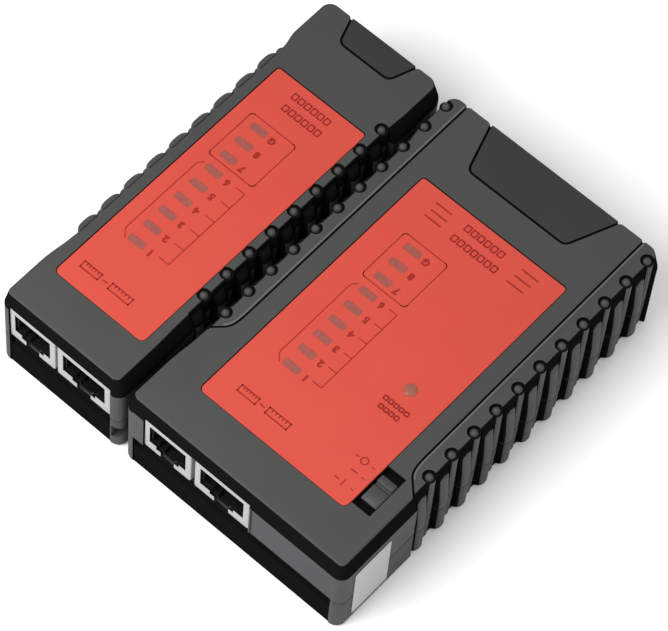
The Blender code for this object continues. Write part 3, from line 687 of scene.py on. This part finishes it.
def stud_places(unit):
    """(u, v) of the studs."""
    signs = [sign for sign, flank in unit.flanks.items() if flank.studded]
    return [(sign * unit.stud_u, v) for sign in signs for v in unit.rib_v]


def front_column(unit):
    """The u where the flat middle of the front ends."""
    return unit.half_side - FRONT_CORNERS[1] - 0.2


def top_levels():
    """Heights of a top shell's outlines, close together on its curves."""
    foot = PARTING + GAP / 2
    return (between(foot, foot + SEAM_EDGE, 3) + [12.0, 16.0, 20.0, 22.5]
            + between(BAND_LOW, PAD_TOP, 10) + [PAD_TOP, 26.3, 26.6, 26.9, 27.15, 27.35, 27.5, 27.6]
            + [HEIGHT - TOP_EDGE * (1 - sin(radians(a))) for a in (0, 22, 45, 68, 90)])


def hollow_top(shell, unit):
    """The inside of a top shell, with its screw bosses."""
    inside = inside_outline(unit, unit.half_inside)
    combine(shell, prism(bmesh.new(), unit, inside, (PARTING - PAST, HEIGHT - ROOF)))
    bosses = bmesh.new()
    for u, v in unit.screws:
        turned(bosses, unit, u, v, [(BOSS_TIP, BOARD_HIGH + GAP), (BOSS_RADIUS, HEIGHT - 1.2)])
    combine(shell, bosses, "UNION")


def cut_front(shell, unit):
    """The screw holes, the jacks' opening, the satin panel beside it and the label's recess."""
    holes = bmesh.new()
    for u, v in unit.screws:
        turned(holes, unit, u, v, [(HOLE_RADIUS, BOARD_HIGH - PAST), (HOLE_RADIUS, SCREW_TOP + PAST)])
    left, right = jack_span(unit)
    jack_top = unit.span(unit.name + "_rj45_shield")[2][1]
    outside = -FRONT_LEAN - 2 * PAST
    # The jacks' opening is painted black inside as its shade.
    box(holes, unit, (left, right), (outside, 2.0), (PARTING - PAST, jack_top + JACK_CLEARANCE), BLACK_AND_SHADE)
    combine(shell, holes)

    front = bmesh.new()
    column = front_column(unit)
    if column > right + 1:
        box(front, unit, (right + 0.4, column), (outside, -FRONT_LEAN + 0.25),
            (PARTING - PAST, BAND_LOW - 0.3), SATIN)
    # The label recess's wall and the flare at its top edge are painted black as the shadow line round the
    # label.
    flare = [(GAP, LABEL_FLOOR), (GAP, HEIGHT - 0.1), (GAP + 0.1, HEIGHT), (GAP + 0.1, HEIGHT + 2 * PAST)]
    loft(front, [[unit.place(u, v, z) for u, v in label_outline(unit, g)] for g, z in flare], BLACK_AND_SHADE)
    combine(shell, front)


def cut_grooves(shell, unit):
    """The grooves in the top face, and their ends down the far end, all painted black as their shade."""
    paths = [(panel_path(unit), PANEL_GROOVE, PANEL_DEPTH)]
    ends = list(unit.panel.far)
    if unit is MASTER:
        paths += [(path, GRIP_GROOVE, GRIP_DEPTH) for path in grip_paths()]
        ends += [-GRIP_U, GRIP_U]
    grooves = bmesh.new()
    for path, width, depth in paths:
        prism(grooves, unit, strip(path, width), (HEIGHT - depth, HEIGHT + 2 * PAST), BLACK_AND_SHADE)
    combine(shell, grooves)
    notches = bmesh.new()
    profile = [(NOTCH_RADIUS, PARTING - PAST), (NOTCH_RADIUS, BAND_LOW), (1.0, HEIGHT + PAST)]
    for u in ends:
        turned(notches, unit, u, TOP_LENGTH + 0.6, profile, 16, BLACK_AND_SHADE)
    combine(shell, notches)


def cut_top(shell, unit):
    """The rings round the studs, the LED windows and the knob's slot, their walls painted black as their
    shade.
    """
    rings = bmesh.new()
    profile = [(STUD_RING - 0.15, HEIGHT - STUD_RING_DEPTH), (STUD_RING, HEIGHT + PAST)]
    for u, v in stud_places(unit):
        turned(rings, unit, u, v, profile, 32, BLACK_AND_SHADE)
    through = HEIGHT - ROOF - PAST, HEIGHT + PAST
    for outline in windows(unit, GAP):
        prism(rings, unit, outline, through, BLACK_AND_SHADE)
    if unit is MASTER:
        box(rings, unit, *knob_slot(), through, BLACK_AND_SHADE)
    combine(shell, rings)


def top_shell(unit):
    shell = make(unit.name + "_case_top", case_skin(unit, top_levels()), SHELL_MATERIALS)
    hollow_top(shell, unit)
    cut_front(shell, unit)
    cut_grooves(shell, unit)
    cut_top(shell, unit)
    for face in shell.data.polygons:
        centre = face.center / MM
        beyond = centre.y - unit.start > unit.panel.start and abs(centre.x - unit.centre) < 3
        if face.normal.z > 0.9 and centre.z > HEIGHT - 0.1 and beyond:
            face.material_index = PANEL
    shade_smooth(shell.data, SHELL_SMOOTH)
    piece(shell, unit.name, "case_plastic", unit.name + "_top_shell")


def rail_outline(unit, start, clearance):
    """The dovetail's section (u, z), from a distance start out of the master's side plane."""
    neck_out, neck_half, head_out, head_half, middle = 1.2, 1.2, 3.4, 2.2, 6.4
    outs = [(start, neck_half + clearance), (neck_out, neck_half + clearance),
            (head_out + clearance, head_half + clearance)]
    plane = MASTER.centre - MASTER.half_side
    upper = [(plane - out - unit.centre, middle + half) for out, half in outs]
    return upper + [(plane - out - unit.centre, middle - half) for out, half in reversed(outs)]


def bottom_levels():
    """Heights of a bottom shell's outlines."""
    top = PARTING - GAP / 2
    return ([FOOT_EDGE * (1 - cos(radians(a))) for a in (0, 25, 45, 65)]
            + between(1.0, 2.6, 6) + [2.8, 4.0, 6.0, 8.5]
            + [top - SEAM_EDGE * (1 - sin(radians(a))) for a in (0, 30, 60, 90)])


def hollow_bottom(shell, unit):
    """The inside of a bottom shell: the remote's is thick beside its groove, up to its circuit board."""
    thick = 0.0 if unit is MASTER else 2.4
    right = unit.half_inside - thick
    combine(shell, prism(bmesh.new(), unit, inside_outline(unit, right), (FLOOR, PARTING + PAST)))
    if thick:
        back = TOP_LENGTH + BACK_LEAN - END_WALL - 0.3
        combine(shell, box(bmesh.new(), unit, (right - 3.0, unit.half_inside), (1.0, back),
                           (BOARD_LOW - GAP, PARTING + 2 * PAST)))


def screw_seats(shell, unit):
    """The bosses that the screws go up through, and the holes for them and their heads."""
    base, head_depth = BOSS_RADIUS + 0.9, 3.0
    boss = [(base, FLOOR - 1.2), (base, 4.2), (BOSS_TIP, 4.8), (BOSS_TIP, BOARD_LOW - GAP)]
    left, right = unit.span(unit.name + "_screw_1")[0]
    head = (right - left) / 2 + GAP
    hole = [(head + 0.3, -PAST), (head + 0.3, 0.0), (head, 0.3), (head, head_depth),
            (HOLE_RADIUS, head_depth), (HOLE_RADIUS, BOARD_LOW)]
    for profile, operation in ((boss, "UNION"), (hole, "DIFFERENCE")):
        bm = bmesh.new()
        for u, v in unit.screws:
            turned(bm, unit, u, v, profile)
        combine(shell, bm, operation)


def cut_front_foot(shell, unit):
    """The black front under the jacks, with a deeper step at its top."""
    column = front_column(unit)
    # The deeper step at the top is painted black as the shade under the jacks.
    for inset, depth, low in ((0.0, 0.4, -PAST), (0.1, 1.2, PARTING - 3.6)):
        across, along = (-column + inset, column - inset), (-FRONT_LEAN - 2 * PAST, -FRONT_LEAN + depth)
        combine(shell, box(bmesh.new(), unit, across, along, (low, PARTING + PAST), BLACK_AND_SHADE))


def door_bay(shell):
    """The opening for the battery door, with a slot on each side for its tongues."""
    (u0, u1), (v0, _), _ = MASTER.span("battery_door")
    tongue = 1.5
    u0, u1 = u0 + tongue - GAP, u1 - tongue + GAP
    low, high, top = 1.1 - GAP, 1.7 + GAP, FLOOR + 0.2
    cross = [(u0, -PAST), (u1, -PAST), (u1, low), (u1 + tongue, low), (u1 + tongue, high), (u1, high),
             (u1, top), (u0, top), (u0, high), (u0 - tongue, high), (u0 - tongue, low), (u0, low)]
    back = TOP_LENGTH + BACK_LEAN + 2 * PAST
    combine(shell, long_prism(bmesh.new(), MASTER, cross, (v0 - GAP, back)))


def bottom_shell(unit):
    shell = make(unit.name + "_case_bottom", case_skin(unit, bottom_levels()), SHELL_MATERIALS)
    hollow_bottom(shell, unit)
    screw_seats(shell, unit)
    cut_front_foot(shell, unit)
    if unit is MASTER:
        rail = rail_outline(unit, -0.9, 0.0)
        combine(shell, long_prism(bmesh.new(), unit, rail, (RAIL_START, RAIL_END)), "UNION")
        door_bay(shell)
    else:
        groove = rail_outline(unit, -2.0, GROOVE_CLEARANCE)
        reach = -FRONT_LEAN - 3 * PAST, RAIL_END + GROOVE_CLEARANCE
        combine(shell, long_prism(bmesh.new(), unit, groove, reach))
    shade_smooth(shell.data, SHELL_SMOOTH)
    piece(shell, unit.name, "case_plastic", unit.name + "_bottom_shell")


def studs(unit):
    bm = bmesh.new()
    middle = STUD_TOP - STUD_RADIUS
    profile = [(STUD_RADIUS, HEIGHT - STUD_RING_DEPTH - 0.3)]
    profile += [(STUD_RADIUS * cos(radians(a)), middle + STUD_RADIUS * sin(radians(a)))
                for a in (0, 15, 30, 45, 60, 75, 86)]
    for u, v in stud_places(unit):
        turned(bm, unit, u, v, profile, 20)
    made = make(unit.name + "_studs", bm, [case_matte], smooth=40)
    piece(made, unit.name, "case_plastic")


def grip_beads():
    """A fine raised lip runs beside each grip groove, on the studs' side."""
    bm = bmesh.new()
    radius = 0.28
    for path in grip_paths():
        inner = [(u, min(v, TOP_LENGTH - 0.6)) for u, v in path if v > 22.2]
        lip = shifted(inner, GRIP_GROOVE / 2 + radius)
        tube(bm, [MASTER.place(u, v, HEIGHT - 0.08) for u, v in lip], radius * MM, 12)
    made = make("master_grip_lips", bm, [rib_grey], smooth=50)
    piece(made, "master", "case_plastic")


# ---- labels

def label(unit):
    """The printed film on a top face, with a window over each LED."""
    levels = [(0.0, LABEL_LOW), (0.0, LABEL_HIGH - 0.1), (0.03, LABEL_HIGH - 0.03), (0.1, LABEL_HIGH)]
    loops = [[unit.place(u, v, z) for u, v in label_outline(unit, LABEL_MARGIN - g)] for g, z in levels]
    plate = make(unit.name + "_label_film", loft(bmesh.new(), loops), [label_film])
    holes = bmesh.new()
    for outline in windows(unit, WINDOW_MARGIN):
        prism(holes, unit, outline, (LABEL_LOW - PAST, LABEL_HIGH + PAST))
    combine(plate, holes)
    piece(plate, unit.name, "label_film", unit.name + "_label")


def led_films(unit):
    """The clear films in the windows over the LEDs: flat ones, and a domed one over the round LED."""
    films = bmesh.new()
    for outline in flat_windows(unit, WINDOW_MARGIN - FILM_GAP):
        prism(films, unit, outline, (WINDOW_TOP - WINDOW_THICK, WINDOW_TOP))
    piece(make(unit.name + "_led_windows", films, [window_film]), unit.name, "label_film")
    if unit is MASTER:
        u, v, radius = power_led(WINDOW_MARGIN - FILM_GAP)
        dome = [(1.0, 27.92), (1.0, 28.0), (0.85, 28.1), (0.5, 28.18), (0.1, 28.2)]
        lens = turned(bmesh.new(), MASTER, u, v, [(radius * part, z) for part, z in dome], 32)
        piece(make("master_power_lens", lens, [round_film], smooth=60), "master", "led_lens")


class Print:
    """Ink on a label: strokes and digits, which stand the right way up for a reader at the far end."""

    def __init__(self, unit):
        self.unit = unit
        self.bm = bmesh.new()

    def line(self, *points, width=LINE):
        prism(self.bm, self.unit, strip(points, width), (PRINT_LOW, PRINT_TOP))

    def loop(self, points, width=LINE):
        """A closed outline, of separate sides that overlap at their ends."""
        for i, point in enumerate(points):
            here, after = Vector(point), Vector(points[(i + 1) % len(points)])
            on = (after - here).normalized() * width / 2
            self.line(here - on, after + on, width=width)

    def text(self, words, u, v):
        curve = bpy.data.curves.new("text", "FONT")
        curve.body = words
        curve.size = DIGIT_SIZE * MM
        curve.align_x, curve.align_y = "CENTER", "CENTER"
        curve.extrude = (PRINT_TOP - PRINT_LOW) / 2 * MM
        curve.resolution_u = 3
        curve.offset = DIGIT_SWELL * MM
        letters = add_object("text", curve)
        mesh = evaluated_mesh(letters)
        place = Matrix.Translation(self.unit.place(u, v, (PRINT_TOP + PRINT_LOW) / 2))
        mesh.transform(place @ Matrix.Rotation(pi, 4, "Z"))
        self.bm.from_mesh(mesh)
        bpy.data.objects.remove(letters)

    def finish(self):
        bmesh.ops.remove_doubles(self.bm, verts=self.bm.verts, dist=1e-7)
        made = make(self.unit.name + "_label_print", self.bm, [label_ink])
        piece(made, self.unit.name, "label_film")


def blocks(ink, u, v, count, tall=1.6, pitch=1.95):
    """A row of blank blocks, in place of words."""
    half = pitch * 0.33
    for i in range(count):
        at = u + (i - (count - 1) / 2) * pitch
        for end_v in (v + tall / 2, v - tall / 2):
            ink.line((at - half, end_v), (at + half, end_v), width=0.4)
        for side_u in (at - half, at + half):
            ink.line((side_u, v - tall / 2), (side_u, v + tall / 2), width=0.4)


def port_mark(ink, u, v, half):
    """A small outline of a modular socket, with five contacts."""
    tall = 0.9
    ink.loop([(u - half, v - tall), (u + half, v - tall), (u + half, v + tall), (u - half, v + tall)], 0.34)
    for i in range(-2, 3):
        contact = u + i * half * 0.32
        ink.line((contact, v + 0.1), (contact, v + 0.85), width=0.3)


def channel_print(ink, digit_u, box_u, inner_u):
    """The digits beside the LEDs, the box round the last three and the bracket round the first six."""
    spans = [ink.unit.span(node)[1] for node in led_nodes(ink.unit)]
    led_v = [(low + high) / 2 for low, high in spans]
    for v, word in zip(led_v, "12345678G"):
        ink.text(word, digit_u, v - 0.2)
    pitch = led_v[1] - led_v[0]
    left, right = box_u
    ink.loop(rounded(left, right, led_v[6] - 0.45 * pitch, led_v[8] + 0.5 * pitch, 0.9, 4))
    near, far = led_v[0] + 0.15 * pitch, led_v[5] + 0.05 * pitch
    ink.line(*eased([(left + 1.2, far + 0.2), (left, far - 0.9), (left, near), (left + 1.6, near - 1.8)],
                    0.8))
    ink.line(*eased([(inner_u, near - 0.4), (right, near - 0.4), (right, far), (inner_u + 0.3, far)], 0.3))
    for v in led_v[1:5]:
        ink.line((inner_u + 0.3, v + 0.3), (right, v + 0.3), width=0.24)


def switch_print(ink):
    """Ticks beside the knob's places, with I, - and O marks."""
    _, slot_v = knob_slot()
    middle = sum(slot_v) / 2
    near, far, mark_u = middle - 3.7, middle + 3.4, 17.2
    for v in (near, middle, far):
        ink.line((19.3, v), (20.2, v), width=0.25)
    ink.line((mark_u, middle - 4.6), (mark_u, middle - 2.8), width=0.35)
    ink.line((mark_u - 0.9, middle), (mark_u + 0.9, middle), width=0.35)
    turns = [radians(22.5 * i) for i in range(17)]
    ink.line(*[(mark_u + 0.9 * cos(a), far + 0.9 * sin(a)) for a in turns], width=0.3)
    ink.line((14.6, near), (16.0, near), width=0.3)
    ink.line((14.6, far), (15.6, far), width=0.3)


def master_print():
    ink = Print(MASTER)
    channel_print(ink, -5.95, (-14.55, -1.75), -4.4)
    blocks(ink, 0.05, 82.8, 6)
    blocks(ink, 0.4, 78.8, 7)
    for u, v in ((-12.2, 83.1), (-11.8, 80.9), (-12.0, 78.9)):
        ink.line((u - 2.5, v), (u + 2.3, v), width=0.42)
    for u, v in ((13.2, 83.1), (12.9, 80.8), (12.5, 78.5)):
        ink.line((u - 2.3, v), (u + 2.5, v), width=0.42)
    port_mark(ink, -12.3, 17.4, 2.6)
    ink.line((-8.9, 17.4), (-7.5, 17.4), width=0.4)
    port_mark(ink, -3.6, 17.4, 3.1)
    power_u, _, _ = power_led(0.0)
    blocks(ink, power_u + 0.4, 37.5, 5, 1.0, 1.5)
    blocks(ink, power_u + 0.2, 35.2, 4, 1.0, 1.5)
    switch_print(ink)
    ink.finish()


def remote_print():
    ink = Print(REMOTE)
    channel_print(ink, -0.75, (-9.3, 4.3), 1.3)
    blocks(ink, -0.05, 82.2, 6)
    blocks(ink, 0.4, 78.4, 6)
    port_mark(ink, -7.2, 16.7, 2.6)
    ink.line((-3.7, 16.7), (-2.3, 16.7), width=0.4)
    port_mark(ink, 1.7, 16.7, 3.1)
    ink.finish()


# ---- jacks, switch and seal

def socket_outline(middle, halves, heights):
    """A modular socket's outline (u, z): the plug's opening, over the two steps of its tab's slot."""
    narrow, wide, half = halves
    foot, step, sill, top = heights
    right = [(narrow, foot), (narrow, step), (wide, step), (wide, sill), (half, sill), (half, top)]
    return [(middle + u, z) for u, z in right] + [(middle - u, z) for u, z in reversed(right)]


def jack_frame(unit, name, socket, tabs):
    """The metal frame round a jack, open behind its front plate."""
    (u0, u1), (front, back), (low, high) = unit.span(name + "_shield")
    levels = [(0.25, front), (0.07, front + 0.07), (0.0, front + 0.25), (0.0, back)]
    loops = [[unit.place(u, v, z)
              for u, z in rounded(u0 + g, u1 - g, low + g, high - g, SHIELD_CORNER - g * 0.8)]
             for g, v in levels]
    shield = make(name + "_frame", loft(bmesh.new(), loops), [jack_metal, jack_black_and_shade])
    thin = SHIELD_THIN
    # The frame's inside and the edges of its mouth take the black slot as painted shade.
    combine(shield, box(bmesh.new(), unit, (u0 + thin, u1 - thin), (front + SHIELD_PLATE, back + PAST),
                        (low + thin, high - thin), 1))
    halves = tabs[1] / 2 + 0.35, tabs[0] / 2 + 0.2, socket / 2 + 0.35
    heights = low - PAST, SOCKET_LOW - 1.5, SOCKET_LOW - 0.3, SOCKET_HIGH - 0.1
    mouth = socket_outline((u0 + u1) / 2, halves, heights)
    combine(shield, long_prism(bmesh.new(), unit, mouth, (front - PAST, front + SHIELD_PLATE + 0.2), 1))
    soften(shield, 0.08, 1, smooth=30)
    piece(shield, unit.name, "jack_shield", name + "_shield")


def jack_housing(unit, name, socket, tabs, contact_u):
    """The black housing in a jack's frame, with its socket and a slot over each contact."""
    (u0, u1), (front, back), (low, high) = unit.span(name + "_shield")
    inset = SHIELD_THIN + GAP
    block = box(bmesh.new(), unit, (u0 + inset, u1 - inset), (front + inset, back - GAP),
                (low + inset, high - inset))
    housing = make(name + "_housing", block, [jack_black_and_shade])
    halves = tabs[1] / 2, tabs[0] / 2, socket / 2
    heights = SOCKET_LOW - 2.3, SOCKET_LOW - 1.2, SOCKET_LOW, SOCKET_HIGH
    hole = socket_outline((u0 + u1) / 2, halves, heights)
    combine(housing, long_prism(bmesh.new(), unit, hole, (front - PAST, SOCKET_DEPTH)))
    comb = bmesh.new()
    for u in contact_u:
        box(comb, unit, (u - 0.25, u + 0.25), (2.6, SOCKET_DEPTH + 1.0),
            (SOCKET_HIGH - 0.5, SOCKET_HIGH + 0.5))
    combine(housing, comb)
    soften(housing, 0.1, 1, smooth=30)
    piece(housing, unit.name, "jack_plastic", name + "_insert")


def jack(unit, kind):
    name = f"{unit.name}_{kind}"
    socket, tabs, contacts = JACKS[kind]
    (u0, u1), _, _ = unit.span(name + "_shield")
    first = (u0 + u1) / 2 - (contacts - 1) * CONTACT_PITCH / 2
    contact_u = [first + CONTACT_PITCH * i for i in range(contacts)]
    jack_frame(unit, name, socket, tabs)
    jack_housing(unit, name, socket, tabs, contact_u)
    bm = bmesh.new()
    for u in contact_u:
        tube(bm, [unit.place(u, v, z) for v, z in CONTACT_ROUTE], CONTACT_RADIUS * MM, 8)
    wires = make(name + "_wires", bm, [contact_gold], smooth=60)
    piece(wires, unit.name, "contact_gold", name + "_contacts")


def knob():
    """The switch's knob: a low and a high step with a groove between them, on a stem over a shutter."""
    (u0, u1), (v0, v1), (low, high) = MASTER.span("switch_knob")
    centre, middle, stem = (u0 + u1) / 2, (v0 + v1) / 2, 1.0
    outline = [(v0, KNOB_BASE), (middle - stem, KNOB_BASE), (middle - stem, low), (middle + stem, low),
               (middle + stem, KNOB_BASE), (v1, KNOB_BASE), (v1, high - 0.3), (v1 - 0.3, high - 0.08),
               (middle + 1.9, high), (middle + 1.6, high - 0.15), (middle + 1.5, high - 0.9),
               (middle + 0.9, high - 0.9), (middle + 0.7, high - 0.5), (middle + 0.5, high - 0.42),
               (v0 + 0.3, high - 0.6), (v0, high - 0.85)]
    made = make("switch_slider", cross_prism(bmesh.new(), MASTER, outline, (u0, u1)),
                [knob_plastic, case_black_and_shade])
    sides = bmesh.new()
    for across in ((centre - 4.0, centre - stem), (centre + stem, centre + 4.0)):
        box(sides, MASTER, across, (middle - 1.5, middle + 1.5), (low - PAST, KNOB_BASE - 0.2))
    combine(made, sides)
    slot_u, slot_v = knob_slot()
    # The shutter is painted black as the shade in the slot.
    shutter = box(bmesh.new(), MASTER, (slot_u[0] - GAP, slot_u[1] + GAP),
                  (slot_v[0] - SHUTTER_TRAVEL, slot_v[1] + SHUTTER_TRAVEL),
                  (KNOB_BASE + 0.3, KNOB_BASE + 0.9), 1)
    combine(made, shutter, "UNION")
    soften(made, 0.15)
    # The knob's lower part is painted black as the shade in its slot.
    for face in made.data.polygons:
        if face.center.z / MM < high - 1.1:
            face.material_index = 1
    piece(made, "knob", "knob_plastic", "switch_knob")


def seal():
    """A thin blank seal with rounded corners and a bevelled edge."""
    us, vs, zs = MASTER.span("seal_sticker")
    bevel = 0.06
    outline = rounded(*vs, *zs, 0.5, 4)
    face = rounded(vs[0] + bevel, vs[1] - bevel, zs[0] + bevel, zs[1] - bevel, 0.45, 4)
    layers = [(us[0], outline), (us[1] - bevel, outline), (us[1], face)]
    loops = [[MASTER.place(u, v, z) for v, z in layer] for u, layer in layers]
    piece(make("seal_label", loft(bmesh.new(), loops), [seal_foil]), "master", "seal_foil", "seal_sticker")


# ---- carried-over nodes

# The finish of each CAD node that stays, by the first of these words that its name has
FINISHES = (("circuit_board", board_green), ("screw", screw_steel), ("_led", led_lens),
            ("battery_door", case_matte), ("battery_snap", snap_plastic), ("battery", battery_jacket),
            ("lead_positive", lead_red), ("lead_negative", lead_black), ("chip", chip_plastic),
            ("switch_body", switch_metal))


def dress_frame():
    for name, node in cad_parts.items():
        if node.hide_render:
            continue
        node.data.materials.clear()
        node.data.materials.append(next(finish for words, finish in FINISHES if words in name))
        if name in ("battery_door", "switch_body", "controller_chip"):
            edge_rounding(node, 0.15)


# ---- stage

def stage():
    bm = bmesh.new()
    bm.faces.new([bm.verts.new((x, y, 0.0)) for x, y in ((-3, -3), (3, -3), (3, 3), (-3, 3))])
    floor = make("floor", bm, [surface("floor_white", (0.9, 0.9, 0.9), 0.9, specular=0.1, mottle=0.01)])


def area_light(name, place, target, size, power):
    """A round lamp at a place, turned towards a target, in metres and watts."""
    light = bpy.data.lights.new(name, "AREA")
    light.shape = "DISK"
    light.size = size
    light.energy = power
    made = add_object(name, light)
    made.location = place
    made.rotation_euler = (Vector(target) - Vector(place)).to_track_quat("-Z", "Y").to_euler()


def light():
    world = bpy.data.worlds.new("studio")
    bpy.context.scene.world = world
    world.use_nodes = True
    put(world.node_tree.nodes["Background"], Color=(1.0, 1.0, 1.0, 1.0), Strength=0.52)
    area_light("key", (-0.12, -0.3, 0.42), (0, -0.02, 0.01), 0.4, 3.1)
    area_light("fill", (0.45, -0.1, 0.7), (0, 0, 0.01), 0.6, 2.2)


def camera():
    """The camera, from its place and the directions of its picture's right and up."""
    place = (0.26365, -0.35585, 0.7774)
    right, up = Vector((0.7464, 0.6635, 0.0519)), Vector((-0.5957, 0.6313, 0.4965))
    lens = bpy.data.cameras.new("camera")
    lens.lens = 209.9
    lens.sensor_width = 36.0
    lens.clip_start, lens.clip_end = 0.05, 10.0
    made = add_object("camera", lens)
    turn = Matrix((right, up, right.cross(up))).transposed()
    made.matrix_world = Matrix.Translation(place) @ turn.to_4x4()
    bpy.context.scene.camera = made
    bpy.context.scene.view_settings.view_transform = "Standard"


# ---- assembly

for unit in UNITS:
    top_shell(unit)
    bottom_shell(unit)
    studs(unit)
    label(unit)
    led_films(unit)
    for kind in JACKS:
        jack(unit, kind)
grip_beads()
master_print()
remote_print()
knob()
seal()
dress_frame()
stage()
light()
camera()
